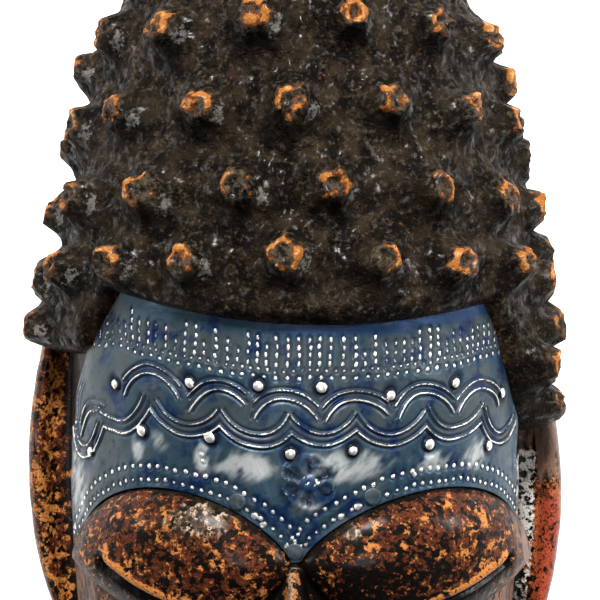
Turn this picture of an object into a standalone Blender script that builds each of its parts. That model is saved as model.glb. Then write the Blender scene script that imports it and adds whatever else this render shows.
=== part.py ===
"""Carved wooden mask with a knobbed hair dome and an embossed aluminium forehead plate.

The mask lies on its flat back rim with its face up: +X is to the right of the
face, +Y runs from the chin to the top of the hair, and +Z comes out of the face.
All lengths are in metres. While the forms are modelled, y is zero at the lowest
point of the hairline. The empty at the end moves the whole work so that the
origin is under the middle of its outline.
"""
import random
from math import ceil, cos, degrees, hypot, pi, radians, sin, sqrt

import bmesh
import bpy
from mathutils import Matrix, Vector

# Overall form
FACE_LENGTH = 0.198
FACE_HALF_WIDTH = 0.0690
FACE_DEPTH = 0.064
HAIR_HEIGHT = 0.157
HAIR_HALF_WIDTH = 0.0755
HAIR_DEPTH = 0.072
SIDE_WALL_HEIGHT = 0.021
SIDE_WALL_TAPER = 0.003
WALL = 0.013
CHIN_WALL = 0.022
BELOW_BACK = 0.005

# Width and depth of the face from the hairline, 0, to the chin, 1
FACE_WIDTH_SHARES = (
    (-0.10, 0.99), (0.0, 1.0), (0.25, 1.004), (0.40, 0.985), (0.55, 0.93),
    (0.70, 0.815), (0.83, 0.64), (0.93, 0.42), (0.98, 0.23), (1.0, 0.06),
)
FACE_DEPTH_SHARES = (
    (-0.10, 0.98), (0.0, 1.0), (0.13, 1.010), (0.25, 0.995), (0.35, 0.945), (0.45, 0.885),
    (0.55, 0.845), (0.70, 0.828), (0.83, 0.79), (0.93, 0.64), (0.98, 0.38), (1.0, 0.12),
)

# Hair dome
HAIR_TAPER_SHARE = 1.30
HAIR_ROUNDING = 8
HAIR_DEPTH_POWER = 0.7
HAIR_TUCK = 0.015
HAIR_TUCK_LENGTH = 0.035
HAIR_END_LEFT = 0.008
HAIR_END_RIGHT = 0.033
HAIR_OVERLAP = 0.012
HAIR_CROWN_POWER = 0.45

# Hairline over the forehead
HAIRLINE_LEFT = 0.053
HAIRLINE_RIGHT = 0.060
HAIRLINE_LOWEST_X = 0.008
HAIRLINE_SAG = 0.0098
HAIRLINE_CORNER = 0.0630
HAIRLINE_STEPS = 14
CORNER_ROUNDING = 0.0050

# Knobs carved on the hair
KNOB_HEIGHT = 0.0088
KNOB_BASE_RADIUS = 0.0125
KNOB_SINK = 0.0025
KNOB_SPREAD = 0.0013
KNOB_ROW_DROOP = 0.0070
KNOB_WIDEST_ANGLE = 88.5
KNOB_HIGHEST_SHARE = 0.985
KNOB_FACETS = (5, 6)
KNOB_VARIATION = 0.08
KNOB_SEED = 11
# A knob's side from tip to foot: shares of its base radius and of its height
KNOB_FLANK = ((0.30, 0.93), (0.52, 0.42))
# Rows: height as a share of the hair's, angle between knobs, angle of one knob
KNOB_ROWS = (
    (0.124, 21.5, -2.5), (0.260, 24.5, -14.5), (0.414, 25.5, 0), (0.575, 28, -12),
    (0.720, 32, 3), (0.850, 37, -16), (0.950, 62, 4),
)
# Single knobs beside the forehead and on both sides: height and angle
SIDE_KNOBS = (
    (-0.0020, -84), (-0.0010, 84), (-0.0125, 73), (-0.0255, 84),
    (0.0215, 88), (0.0500, 88), (0.0728, 88), (0.0550, -88), (0.0775, -88),
)

# Forehead plate
PLATE_THICKNESS = 0.0008
PLATE_SIDE_ANGLE = 80
PLATE_SIDE_END_LEFT = 0.343 * FACE_LENGTH
PLATE_SIDE_END_RIGHT = 0.323 * FACE_LENGTH
PLATE_POINT = 0.353 * FACE_LENGTH
PLATE_POINT_SLOPE = 0.0006
PLATE_POINT_ANGLE = 10
FIT_GAP = 0.0003
EDGE_GAP = 0.0006
WAVE_PITCH = 0.0213
WAVE_SHIFT = -0.0026
WAVE_WIDEST_ANGLE = 74
WAVE_STEPS = 5
WAVE_RISE = 0.0080
WAVE_CORD = 0.0009
ARCH_DROP = 0.0240
BOWL_DROP = 0.0310
STUD_RADIUS = 0.0019
STUD_RISE = 0.0010
STUD_WIDEST_ANGLE = 66
STUD_STEPS = 6
UPPER_STUD_DROP = 0.0200
LOWER_STUD_DROP = 0.0375
ROSETTE_RADIUS = 0.0082
ROSETTE_ANGLE = 2.5
ROSETTE_DROP = 0.0480
ROSETTE_RISE = 0.0008
ROSETTE_STEPS = 12

# Nails
NAIL_HEAD_RADIUS = 0.0024
NAIL_HEAD_HEIGHT = 0.0008
NAIL_SHANK_RADIUS = 0.0008
NAIL_LENGTH = 0.010
NAIL_CLEARANCE = 0.0003
NAIL_EDGE_DISTANCE = 0.0032
NAIL_STEPS = 10
HOLE_STEPS = 8
NAIL_ANGLES = {"nail_left": -14, "nail_centre": 0, "nail_right": 19}

# Brow and eyelid lobes, one each side
LOBES = {"left": (-36.5, 35.5), "right": (42.0, 40.5)}
LOBE_DROP = 0.3535 * FACE_LENGTH
LOBE_UPPER_HEIGHT = 0.0215
LOBE_LOWER_HEIGHT = 0.018
LOBE_DROOP = 0.6
LOBE_POINTEDNESS = 1.5
LOBE_RISE = 0.0105
# Line of the closed eye: side outward as a share of the lobe's half-angle, height over its middle
EYELID_LINE = (
    (0.34, 0.0012), (0.30, -0.0005), (0.21, -0.0028), (0.08, -0.0060),
    (-0.09, -0.0095), (-0.28, -0.0126), (-0.48, -0.0152),
)
GROOVE_RADIUS = 0.0017
GROOVE_STEPS = 8

# Nose: drop below the hairline, half-width of its back, half-width of its foot,
# and height over the face, all as shares of the face's length
NOSE_STATIONS = (
    (0.3590, 0.0060, 0.0110, -0.005),
    (0.3690, 0.0070, 0.0130, 0.012),
    (0.4150, 0.0080, 0.0200, 0.028),
    (0.4650, 0.0130, 0.0350, 0.050),
    (0.5300, 0.0220, 0.0520, 0.074),
    (0.5950, 0.0340, 0.0660, 0.099),
    (0.6350, 0.0410, 0.0760, 0.113),
    (0.6600, 0.0380, 0.0740, 0.104),
    (0.6780, 0.0260, 0.0600, 0.062),
    (0.6880, 0.0100, 0.0350, 0.016),
)
NOSTRIL_WING_RADIUS = 0.0072
NOSTRIL_RADIUS = 0.0030

# Mouth and chin
UPPER_LIP = {"drop": 0.775, "half_angle": 27, "half_height": 0.0068, "rise": 0.0062}
LOWER_LIP = {"drop": 0.822, "half_angle": 24, "half_height": 0.0074, "rise": 0.0070}
CHIN = {"drop": 0.905, "half_angle": 33, "half_height": 0.0140, "rise": 0.0058}
MOUTH_DROP = 0.799
MOUTH_HALF_ANGLE = 25
MOUTH_CURL = 0.006
MOUTH_LIFT = 0.72

# Ears
EAR_WIDTH = 0.0140
EAR_HEIGHT = 0.017
EAR_BACK = 0.005
EAR_TOP = 0.012
EAR_LENGTH = 0.112
EAR_DROP_RIGHT = 0.012
EAR_INSIDE_SHARE = 0.93
EAR_STEPS = 9
# The ear's cut from its outer foot over the rim into the channel: shares of the
# width in from the rim, and of the height
EAR_PROFILE = ((0.15, 0.0), (0.0, 0.25), (0.0, 0.72), (0.15, 1.0), (0.38, 0.95), (0.60, 0.58))

# Swellings grow out of the face with a full, steep-sided shape
SINK = 0.004
DOME_FULLNESS = 2.4
DOME_STEEPNESS = 0.6

# Fineness of the faceted surfaces
HEAD_STATIONS = (
    0.0, 0.12, 0.23, 0.29, 0.335, 0.38, 0.45, 0.54, 0.64, 0.73, 0.81, 0.88, 0.935, 0.97, 0.99,
)
HEAD_ARCS = 18
HAIR_STATIONS = (0.0, 0.20, 0.40, 0.58, 0.74, 0.87, 0.95, 0.985)
HAIR_ARCS = 14
HOLLOW_ARCS = 10
HOLLOW_STEPS = 10
HOLLOW_END_SHARE = 0.25
SHARP_ANGLE = 32
LOBE_SPOKES = 15
LIP_SPOKES = 12
PLATE_COLUMNS = 24
PLATE_ROWS = 5

COLORS = {
    "wood": (0.30, 0.13, 0.045, 1.0),
    "plate": (0.05, 0.11, 0.20, 1.0),
    "nail": (0.36, 0.38, 0.40, 1.0),
}


def clear_scene():
    for obj in list(bpy.data.objects):
        bpy.data.objects.remove(obj, do_unlink=True)


def new_collection(name, parent=None):
    collection = bpy.data.collections.new(name)
    (parent or bpy.context.scene.collection).children.link(collection)
    return collection


def new_material(name, color, roughness, metallic):
    material = bpy.data.materials.new(name)
    material.use_nodes = True
    shader = material.node_tree.nodes["Principled BSDF"]
    shader.inputs["Base Color"].default_value = color
    shader.inputs["Roughness"].default_value = roughness
    shader.inputs["Metallic"].default_value = metallic
    material.diffuse_color = color
    return material


def smooth_step(value):
    value = min(max(value, 0.0), 1.0)
    return value * value * (3.0 - 2.0 * value)


def along(stations, position):
    """A smooth curve through (position, value) pairs, read at one position."""
    last = len(stations) - 1
    position = min(max(position, stations[0][0]), stations[last][0])
    index = 0
    while index < last - 1 and position > stations[index + 1][0]:
        index += 1

    def slope(at):
        before = stations[max(at - 1, 0)]
        after = stations[min(at + 1, last)]
        return (after[1] - before[1]) / (after[0] - before[0])

    start, end = stations[index], stations[index + 1]
    span = end[0] - start[0]
    t = (position - start[0]) / span
    return (
        (2 * t**3 - 3 * t**2 + 1) * start[1]
        + (t**3 - 2 * t**2 + t) * span * slope(index)
        + (-2 * t**3 + 3 * t**2) * end[1]
        + (t**3 - t**2) * span * slope(index + 1)
    )


def face_half_width(y):
    return FACE_HALF_WIDTH * along(FACE_WIDTH_SHARES, -y / FACE_LENGTH)


def face_depth(y):
    return FACE_DEPTH * along(FACE_DEPTH_SHARES, -y / FACE_LENGTH)


def hair_half_width(y):
    if y < 0:
        return HAIR_HALF_WIDTH * (1.0 - HAIR_TUCK * smooth_step(-y / HAIR_TUCK_LENGTH))
    share = min(y / HAIR_HEIGHT, 1.0)
    flank = sqrt(1.0 - share / HAIR_TAPER_SHARE)
    crown = (1.0 - share**HAIR_ROUNDING) ** HAIR_CROWN_POWER
    return HAIR_HALF_WIDTH * flank * crown


def hair_depth(y):
    share = min(hair_half_width(y) / HAIR_HALF_WIDTH, 1.0)
    return HAIR_DEPTH * (share**HAIR_DEPTH_POWER if y > 0 else 1.0)


def form_point(half_width, depth, angle, y, lift=0.0):
    """A point on a rounded form at an angle from its middle, lifted along its normal."""
    turn = radians(angle)
    step = 0.0005
    width = half_width(y)
    height = depth(y)
    across = Vector((width * cos(turn), 0.0, -height * sin(turn)))
    wide_slope = (half_width(y + step) - half_width(y - step)) / (2 * step)
    deep_slope = (depth(y + step) - depth(y - step)) / (2 * step)
    upward = Vector((wide_slope * sin(turn), 1.0, deep_slope * cos(turn)))
    normal = across.cross(upward).normalized()
    point = Vector((width * sin(turn), y, SIDE_WALL_HEIGHT + height * cos(turn)))
    return point + normal * lift, normal


def face_point(angle, y, lift=0.0):
    return form_point(face_half_width, face_depth, angle, y, lift)


def hair_point(angle, y, lift=0.0):
    return form_point(hair_half_width, hair_depth, angle, y, lift)


def standing_on(point, normal):
    """The placing of a piece that stands on a surface and faces out along its normal."""
    return Matrix.Translation(point) @ normal.to_track_quat("Z", "Y").to_matrix().to_4x4()


def section(half_width, depth, y, arcs, floor=0.0, taper=SIDE_WALL_TAPER):
    """One slice across a form: up the left wall, over the top and down the right wall."""
    ring = [Vector((-(half_width - taper), y, floor))]
    for step in range(arcs + 1):
        turn = pi * step / arcs - pi / 2
        x = half_width * sin(turn)
        ring.append(Vector((x, y, SIDE_WALL_HEIGHT + depth * cos(turn))))
    ring.append(Vector((half_width - taper, y, floor)))
    return ring


def object_from_mesh(name, mesh, collection, material=None):
    obj = bpy.data.objects.new(name, mesh)
    collection.objects.link(obj)
    if material:
        mesh.materials.append(material)
    return obj


def finished_mesh(name, bm):
    """Flat triangles facing out, so that a cut never meets a bent face."""
    bmesh.ops.recalc_face_normals(bm, faces=bm.faces)
    bmesh.ops.triangulate(bm, faces=bm.faces)
    mesh = bpy.data.meshes.new(name)
    bm.to_mesh(mesh)
    bm.free()
    return mesh


def loft(name, rings, collection, material=None):
    """A closed body through rings with the same number of points, with flat ends."""
    bm = bmesh.new()
    rows = [[bm.verts.new(point) for point in ring] for ring in rings]
    for lower, upper in zip(rows, rows[1:]):
        for i in range(len(lower)):
            j = (i + 1) % len(lower)
            bm.faces.new((lower[i], lower[j], upper[j], upper[i]))
    bm.faces.new(rows[0])
    bm.faces.new(rows[-1])
    return object_from_mesh(name, finished_mesh(name, bm), collection, material)


def dome(share):
    """Height of a swelling, 1 at its middle, 0 at its edge."""
    return (1.0 - share**DOME_FULLNESS) ** DOME_STEEPNESS


def lobe_outline(around, outward, half_angle, upper, lower, droop, pointedness):
    """Angle and height of a swelling's edge: deeper towards the nose by its droop."""
    side = cos(around)
    height = sin(around) * abs(sin(around)) ** (pointedness - 1.0)
    reach = upper if height > 0 else lower * (1.0 - droop * side)
    return outward * half_angle * side, reach * height


def swelling(name, collection, angle, y, half_angle, upper, lower, rise,
             droop=0.0, pointedness=1.0, outward=1, spokes=LOBE_SPOKES, rings=4):
    """A rounded form that grows out of the face and follows its curve."""
    bm = bmesh.new()

    def spot(share, spoke, lift):
        turn = 2 * pi * spoke / spokes
        side, height = lobe_outline(turn, outward, half_angle, upper, lower, droop, pointedness)
        return face_point(angle + side * share, y + height * share, lift)[0]

    levels = []
    for ring in range(1, rings + 1):
        share = sin(pi / 2 * ring / rings)
        lift = rise * dome(share)
        levels.append([bm.verts.new(spot(share, s, lift)) for s in range(spokes)])
    for share in (0.98, 0.5):
        levels.append([bm.verts.new(spot(share, s, -SINK)) for s in range(spokes)])
    top = bm.verts.new(spot(0.0, 0, rise))
    bottom = bm.verts.new(spot(0.0, 0, -SINK))
    for inner, outer in zip(levels, levels[1:]):
        for i in range(spokes):
            j = (i + 1) % spokes
            bm.faces.new((inner[i], outer[i], outer[j], inner[j]))
    for i in range(spokes):
        j = (i + 1) % spokes
        bm.faces.new((top, levels[0][i], levels[0][j]))
        bm.faces.new((bottom, levels[-1][j], levels[-1][i]))
    return object_from_mesh(name, finished_mesh(name, bm), collection)


def mesh_from_curve(name, curve, collection):
    """A curve's body as a welded mesh, so that it can cut or join another body."""
    holder = bpy.data.objects.new(name + "_curve", curve)
    bpy.context.scene.collection.objects.link(holder)
    depsgraph = bpy.context.evaluated_depsgraph_get()
    body = bpy.data.meshes.new_from_object(holder.evaluated_get(depsgraph))
    bm = bmesh.new()
    bm.from_mesh(body)
    bmesh.ops.remove_doubles(bm, verts=bm.verts, dist=0.00001)
    obj = object_from_mesh(name, finished_mesh(name, bm), collection)
    bpy.data.meshes.remove(body)
    obj.matrix_world = holder.matrix_world
    bpy.data.objects.remove(holder, do_unlink=True)
    bpy.data.curves.remove(curve)
    return obj


def bead(name, points, radius, collection):
    """A bar through points, with flat ends. Its four sides read as a rounded line."""
    curve = bpy.data.curves.new(name, "CURVE")
    curve.dimensions = "3D"
    curve.bevel_depth = radius
    curve.bevel_resolution = 0
    curve.use_fill_caps = True
    spline = curve.splines.new("POLY")
    spline.points.add(len(points) - 1)
    for target, point in zip(spline.points, points):
        target.co = (point.x, point.y, point.z, 1.0)
    return mesh_from_curve(name, curve, collection)


def turned(name, profile, steps, collection, material=None):
    """A turned body: the profile runs down the outer side, from top to bottom."""
    mesh = bpy.data.meshes.new(name)
    edges = [(i, i + 1) for i in range(len(profile) - 1)]
    mesh.from_pydata([(radius, 0.0, height) for radius, height in profile], edges, [])
    obj = object_from_mesh(name, mesh, collection, material)
    screw = obj.modifiers.new("Turn", "SCREW")
    screw.steps = steps
    screw.render_steps = steps
    screw.use_merge_vertices = True
    screw.merge_threshold = 0.00001
    return obj


def ball(name, radius, centre, collection, squash=(1.0, 1.0, 1.0)):
    bm = bmesh.new()
    bmesh.ops.create_uvsphere(bm, u_segments=12, v_segments=8, radius=radius)
    mesh = bpy.data.meshes.new(name)
    bm.to_mesh(mesh)
    bm.free()
    obj = object_from_mesh(name, mesh, collection)
    obj.location = centre
    obj.scale = squash
    return obj


def boolean(target, operation, collection=None, operand=None):
    """Join or cut bodies. The exact solver leaves open edges where so many meet."""
    modifier = target.modifiers.new(operation.title(), "BOOLEAN")
    modifier.operation = operation
    modifier.solver = "MANIFOLD"
    if collection:
        modifier.operand_type = "COLLECTION"
        modifier.collection = collection
    else:
        modifier.object = operand
    return modifier


def hairline(x):
    return HAIRLINE_SAG * ((x - HAIRLINE_LOWEST_X) / (HAIRLINE_LEFT + HAIRLINE_LOWEST_X)) ** 2


def hair_edge_corners():
    """The hair's lower edge in front view, from far left to far right."""
    far = 2.0 * HAIR_HALF_WIDTH
    beside_plate = FACE_HALF_WIDTH + FIT_GAP + PLATE_THICKNESS + 2 * EDGE_GAP
    corners = [
        (-far, -HAIR_END_LEFT),
        (-HAIRLINE_CORNER - CORNER_ROUNDING, -HAIR_END_LEFT),
        (-HAIRLINE_CORNER, -HAIR_END_LEFT * 0.3),
    ]
    for step in range(HAIRLINE_STEPS + 1):
        x = -HAIRLINE_LEFT + (HAIRLINE_LEFT + HAIRLINE_RIGHT) * step / HAIRLINE_STEPS
        corners.append((x, hairline(x)))
    return corners + [
        (HAIRLINE_CORNER + CORNER_ROUNDING, -HAIR_END_RIGHT * 0.15),
        (beside_plate, -HAIR_END_RIGHT * 0.45),
        (beside_plate + EDGE_GAP, -HAIR_END_RIGHT * 0.9),
        (beside_plate + CORNER_ROUNDING, -HAIR_END_RIGHT),
        (far, -HAIR_END_RIGHT),
    ]


def make_head(collection, material):
    """The face block, from inside the hair down to the chin."""
    stations = [HAIR_OVERLAP - 0.0005]
    stations += [-FACE_LENGTH * share for share in HEAD_STATIONS]
    rings = [section(face_half_width(y), face_depth(y), y, HEAD_ARCS) for y in stations]
    for ring, y in zip(rings, stations):
        inset = min(SIDE_WALL_TAPER, 0.3 * face_half_width(y))
        ring[0].x = -(face_half_width(y) - inset)
        ring[-1].x = face_half_width(y) - inset
    return loft("carved_mask", rings, collection, material)


def make_hair(collection, cutters):
    """The hair dome, cut away in front of the face and at its two lower ends."""
    low = -(HAIR_END_RIGHT + HAIR_OVERLAP)
    stations = [low, low * 0.4]
    stations += [HAIR_HEIGHT * share for share in HAIR_STATIONS]
    rings = []
    for y in stations:
        width = hair_half_width(y)
        taper = min(SIDE_WALL_TAPER, 0.3 * width)
        rings.append(section(width, hair_depth(y), y, HAIR_ARCS, taper=taper))
    hair = loft("hair", rings, collection)
    boolean(hair, "DIFFERENCE", operand=make_window(cutters))
    return hair


def make_window(cutters):
    """The front-view opening in the hair: the forehead, then the two cut ends."""
    outline = hair_edge_corners()
    far = outline[-1][0]
    outline += [(far, -FACE_LENGTH), (-far, -FACE_LENGTH)]
    curve = bpy.data.curves.new("hair_window", "CURVE")
    curve.dimensions = "2D"
    curve.fill_mode = "BOTH"
    curve.extrude = HAIR_DEPTH + SIDE_WALL_HEIGHT + 0.02
    spline = curve.splines.new("POLY")
    spline.points.add(len(outline) - 1)
    spline.use_cyclic_u = True
    for target, (x, y) in zip(spline.points, outline):
        target.co = (x, y, 0.0, 1.0)
    return mesh_from_curve("hair_window", curve, cutters)


def knob_places():
    """Angle and height of every knob, row by row from the forehead to the crown."""
    places = []
    for share, spacing, one_angle in KNOB_ROWS:
        count = ceil(KNOB_WIDEST_ANGLE / spacing) + 1
        for number in range(-count, count + 1):
            angle = one_angle + number * spacing
            if abs(angle) <= KNOB_WIDEST_ANGLE:
                droop = KNOB_ROW_DROOP * (angle / KNOB_WIDEST_ANGLE) ** 2
                places.append((angle, share * HAIR_HEIGHT - droop))
    return places + [(angle, y) for y, angle in SIDE_KNOBS]


def make_knobs(collection):
    """Blunt faceted thorns, each a little different, as a hand would cut them."""
    chance = random.Random(KNOB_SEED)
    profile = [(0.0, KNOB_HEIGHT)]
    profile += [(KNOB_BASE_RADIUS * out, KNOB_HEIGHT * up) for out, up in KNOB_FLANK]
    profile += [(KNOB_BASE_RADIUS, -KNOB_SINK * 0.4), (0.0, -KNOB_SINK)]
    for number, (angle, y) in enumerate(knob_places()):
        knob = turned(f"knob_{number:02d}", profile, chance.choice(KNOB_FACETS), collection)
        highest = KNOB_HIGHEST_SHARE * HAIR_HEIGHT
        width = hair_half_width(min(y, highest))
        shift = degrees(chance.uniform(-KNOB_SPREAD, KNOB_SPREAD) / width)
        height = min(y + chance.uniform(-KNOB_SPREAD, KNOB_SPREAD), highest)
        turn = Matrix.Rotation(chance.uniform(0.0, 2 * pi), 4, "Z")
        knob.matrix_world = standing_on(*hair_point(angle + shift, height)) @ turn
        knob.scale = [chance.uniform(1 - KNOB_VARIATION, 1 + KNOB_VARIATION) for _ in range(3)]


def lobe_edge(angle):
    """Height of a lobe's upper edge, where the forehead plate stops."""
    middle, half_angle = LOBES["left" if angle < 0 else "right"]
    side = (angle - middle) / half_angle
    return -LOBE_DROP + LOBE_UPPER_HEIGHT * max(0.0, 1.0 - side * side) ** (LOBE_POINTEDNESS / 2)


def plate_lower_edge(angle):
    """Along the lobes, down to a point between them and not below the sheet's sides."""
    point = -PLATE_POINT + PLATE_POINT_SLOPE * abs(angle)
    side_end = PLATE_SIDE_END_LEFT if angle < 0 else PLATE_SIDE_END_RIGHT
    floor = point if abs(angle) < PLATE_POINT_ANGLE else -side_end
    return max(lobe_edge(angle) + EDGE_GAP, floor)


def plate_upper_edge(angle):
    """Just under the hair, and down its side where the hair hangs lower."""
    x = (face_half_width(0.0) + FIT_GAP + PLATE_THICKNESS) * sin(radians(angle))
    corners = hair_edge_corners()
    for (left, start), (right, end) in zip(corners, corners[1:]):
        if left <= x <= right:
            return start + (end - start) * (x - left) / (right - left) - 2 * EDGE_GAP


def make_plate(collection, cutters, material):
    """The sheet over the forehead, one gap off the wood, with its raised figures."""
    bm = bmesh.new()
    grid = []
    for column in range(PLATE_COLUMNS + 1):
        angle = PLATE_SIDE_ANGLE * (2.0 * column / PLATE_COLUMNS - 1.0)
        low, high = plate_lower_edge(angle), plate_upper_edge(angle)
        line = [face_point(angle, low + (high - low) * row / PLATE_ROWS, FIT_GAP)[0]
                for row in range(PLATE_ROWS + 1)]
        grid.append([bm.verts.new(point) for point in line])
    for left, right in zip(grid, grid[1:]):
        for row in range(PLATE_ROWS):
            bm.faces.new((left[row], right[row], right[row + 1], left[row + 1]))
    mesh = bpy.data.meshes.new("forehead_plate")
    bm.to_mesh(mesh)
    bm.free()
    plate = object_from_mesh("forehead_plate", mesh, collection, material)
    sheet = plate.modifiers.new("Sheet", "SOLIDIFY")
    sheet.thickness = PLATE_THICKNESS
    sheet.offset = 1.0
    sheet.use_even_offset = True
    boolean(plate, "UNION", collection=make_plate_figures(cutters))
    return plate


def pattern_sag(angle):
    """How far the figures rise towards the sides, in line with the hairline."""
    return min(hairline(FACE_HALF_WIDTH * sin(radians(angle))), HAIRLINE_SAG)


def wave_line(drop, direction, offset):
    """A chain of whole arcs across the plate: arches for +1, bowls for -1."""
    reach = radians(WAVE_WIDEST_ANGLE) * FACE_HALF_WIDTH
    first = ceil((-reach - offset) / WAVE_PITCH + 0.5)
    last = int((reach - offset) / WAVE_PITCH - 0.5)
    points = []
    for step in range((last - first + 1) * WAVE_STEPS + 1):
        phase = step / WAVE_STEPS
        angle = degrees(((first - 0.5 + phase) * WAVE_PITCH + offset) / FACE_HALF_WIDTH)
        swell = abs(sin(pi * phase)) - 0.5
        y = pattern_sag(angle) - drop + WAVE_RISE * swell * direction
        points.append(face_point(angle, y, FIT_GAP + PLATE_THICKNESS)[0])
    return points


def make_plate_figures(cutters):
    """The bold raised figures that show from a step away."""
    figures = new_collection("plate_figures", cutters)
    bead("arches", wave_line(ARCH_DROP, 1, WAVE_SHIFT), WAVE_CORD, figures)
    bowls = wave_line(BOWL_DROP, -1, WAVE_SHIFT + WAVE_PITCH / 2)
    bead("bowls", bowls, WAVE_CORD, figures)
    for drop, offset in ((UPPER_STUD_DROP, WAVE_PITCH / 2), (LOWER_STUD_DROP, 0.0)):
        reach = int(radians(STUD_WIDEST_ANGLE) * FACE_HALF_WIDTH / WAVE_PITCH)
        for number in range(-reach, reach + 1):
            run = number * WAVE_PITCH + offset + WAVE_SHIFT
            angle = degrees(run / FACE_HALF_WIDTH)
            if abs(angle) < STUD_WIDEST_ANGLE:
                place_disc(f"stud_{len(figures.objects)}", angle, pattern_sag(angle) - drop,
                           STUD_RADIUS, STUD_RISE, STUD_STEPS, figures)
    place_disc("rosette", ROSETTE_ANGLE, -ROSETTE_DROP, ROSETTE_RADIUS, ROSETTE_RISE,
               ROSETTE_STEPS, figures)
    return figures


def place_disc(name, angle, y, radius, rise, steps, collection):
    foot = -PLATE_THICKNESS * 0.5
    profile = [(0.0, rise), (radius * 0.7, rise * 0.8), (radius, foot), (0.0, foot)]
    disc = turned(name, profile, steps, collection)
    disc.matrix_world = standing_on(*face_point(angle, y, FIT_GAP + PLATE_THICKNESS))


def nail_frame(angle):
    """Where a nail's head meets the plate, looking out along the nail."""
    y = plate_lower_edge(angle) + NAIL_EDGE_DISTANCE
    return standing_on(*face_point(angle, y, FIT_GAP + PLATE_THICKNESS + FIT_GAP))


def make_nails(collection, material):
    """Round-headed nails, each a loose fit in its drilled hole."""
    profile = [
        (0.0, NAIL_HEAD_HEIGHT),
        (NAIL_HEAD_RADIUS * 0.75, NAIL_HEAD_HEIGHT * 0.92),
        (NAIL_HEAD_RADIUS, NAIL_HEAD_HEIGHT * 0.35),
        (NAIL_HEAD_RADIUS, 0.0),
        (NAIL_SHANK_RADIUS, 0.0),
        (NAIL_SHANK_RADIUS, -NAIL_LENGTH * 0.85),
        (0.0, -NAIL_LENGTH),
    ]
    for name, angle in NAIL_ANGLES.items():
        nail = turned(name, profile, NAIL_STEPS, collection, material)
        nail.matrix_world = nail_frame(angle)


def make_nail_holes(collection):
    radius = NAIL_SHANK_RADIUS + NAIL_CLEARANCE
    above = 5 * NAIL_HEAD_HEIGHT
    below = -(NAIL_LENGTH + NAIL_CLEARANCE)
    profile = [(0.0, above), (radius, above), (radius, below), (0.0, below)]
    for name, angle in NAIL_ANGLES.items():
        hole = turned(name + "_hole", profile, HOLE_STEPS, collection)
        hole.matrix_world = nail_frame(angle)


def make_lobes(forms, hollows):
    """Two heavy lids under the forehead, each with the line of a closed eye."""
    for name, (middle, half_angle) in LOBES.items():
        outward = 1 if middle > 0 else -1
        swelling(f"lobe_{name}", forms, middle, -LOBE_DROP, half_angle, LOBE_UPPER_HEIGHT,
                 LOBE_LOWER_HEIGHT, LOBE_RISE, LOBE_DROOP, LOBE_POINTEDNESS, outward)
        points = []
        for side, height in EYELID_LINE:
            lower = LOBE_LOWER_HEIGHT * (1.0 - LOBE_DROOP * side)
            reach = LOBE_UPPER_HEIGHT if height > 0 else lower
            lift = LOBE_RISE * dome(min(0.99, hypot(side, height / reach)))
            angle = middle + outward * half_angle * side
            points.append(face_point(angle, height - LOBE_DROP, lift)[0])
        bead(f"eyelid_{name}", points, GROOVE_RADIUS, hollows)


def make_nose(forms, hollows):
    """A narrow ridge between the lobes that widens to the nostrils."""
    rings = []
    for drop, back, foot, rise in NOSE_STATIONS:
        y = -drop * FACE_LENGTH
        level = SIDE_WALL_HEIGHT + face_depth(y)
        back, foot, rise = (value * FACE_LENGTH for value in (back, foot, rise))
        right = [
            (foot * 1.1, -SINK - 0.002), (foot, rise * 0.12), (0.5 * (foot + back), rise * 0.45),
            (back, rise * 0.82), (back * 0.55, rise * 0.97),
        ]
        ring = [Vector((-x, y, level + z)) for x, z in right]
        ring.append(Vector((0.0, y, level + rise)))
        ring += [Vector((x, y, level + z)) for x, z in reversed(right)]
        rings.append(ring)
    loft("nose", rings, forms)
    drop, back, foot, rise = (value * FACE_LENGTH for value in NOSE_STATIONS[6])
    level = SIDE_WALL_HEIGHT + face_depth(-drop)
    for side, name in ((-1, "left"), (1, "right")):
        centre = Vector((side * foot * 0.72, -drop, level + rise * 0.30))
        ball(f"nostril_wing_{name}", NOSTRIL_WING_RADIUS, centre, forms, (0.85, 1.0, 1.15))
        opening = Vector((side * foot * 0.50, -drop - NOSTRIL_WING_RADIUS, level + rise * 0.42))
        ball(f"nostril_{name}", NOSTRIL_RADIUS, opening, hollows, (0.9, 1.3, 1.35))


def make_mouth(forms, hollows):
    """Two full lips with the mouth's line between them, and the chin below."""
    for name, lip in (("upper_lip", UPPER_LIP), ("lower_lip", LOWER_LIP), ("chin", CHIN)):
        swelling(name, forms, 0.0, -lip["drop"] * FACE_LENGTH, lip["half_angle"],
                 lip["half_height"], lip["half_height"], lip["rise"], spokes=LIP_SPOKES, rings=3)
    points = []
    for step in range(GROOVE_STEPS + 1):
        side = 2.0 * step / GROOVE_STEPS - 1.0
        turn = radians(90.0 * side)
        y = -(MOUTH_DROP - MOUTH_CURL * sin(turn) ** 2) * FACE_LENGTH
        lift = LOWER_LIP["rise"] * MOUTH_LIFT * cos(turn)
        points.append(face_point(MOUTH_HALF_ANGLE * side, y, lift)[0])
    bead("mouth_line", points, GROOVE_RADIUS, hollows)


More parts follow.
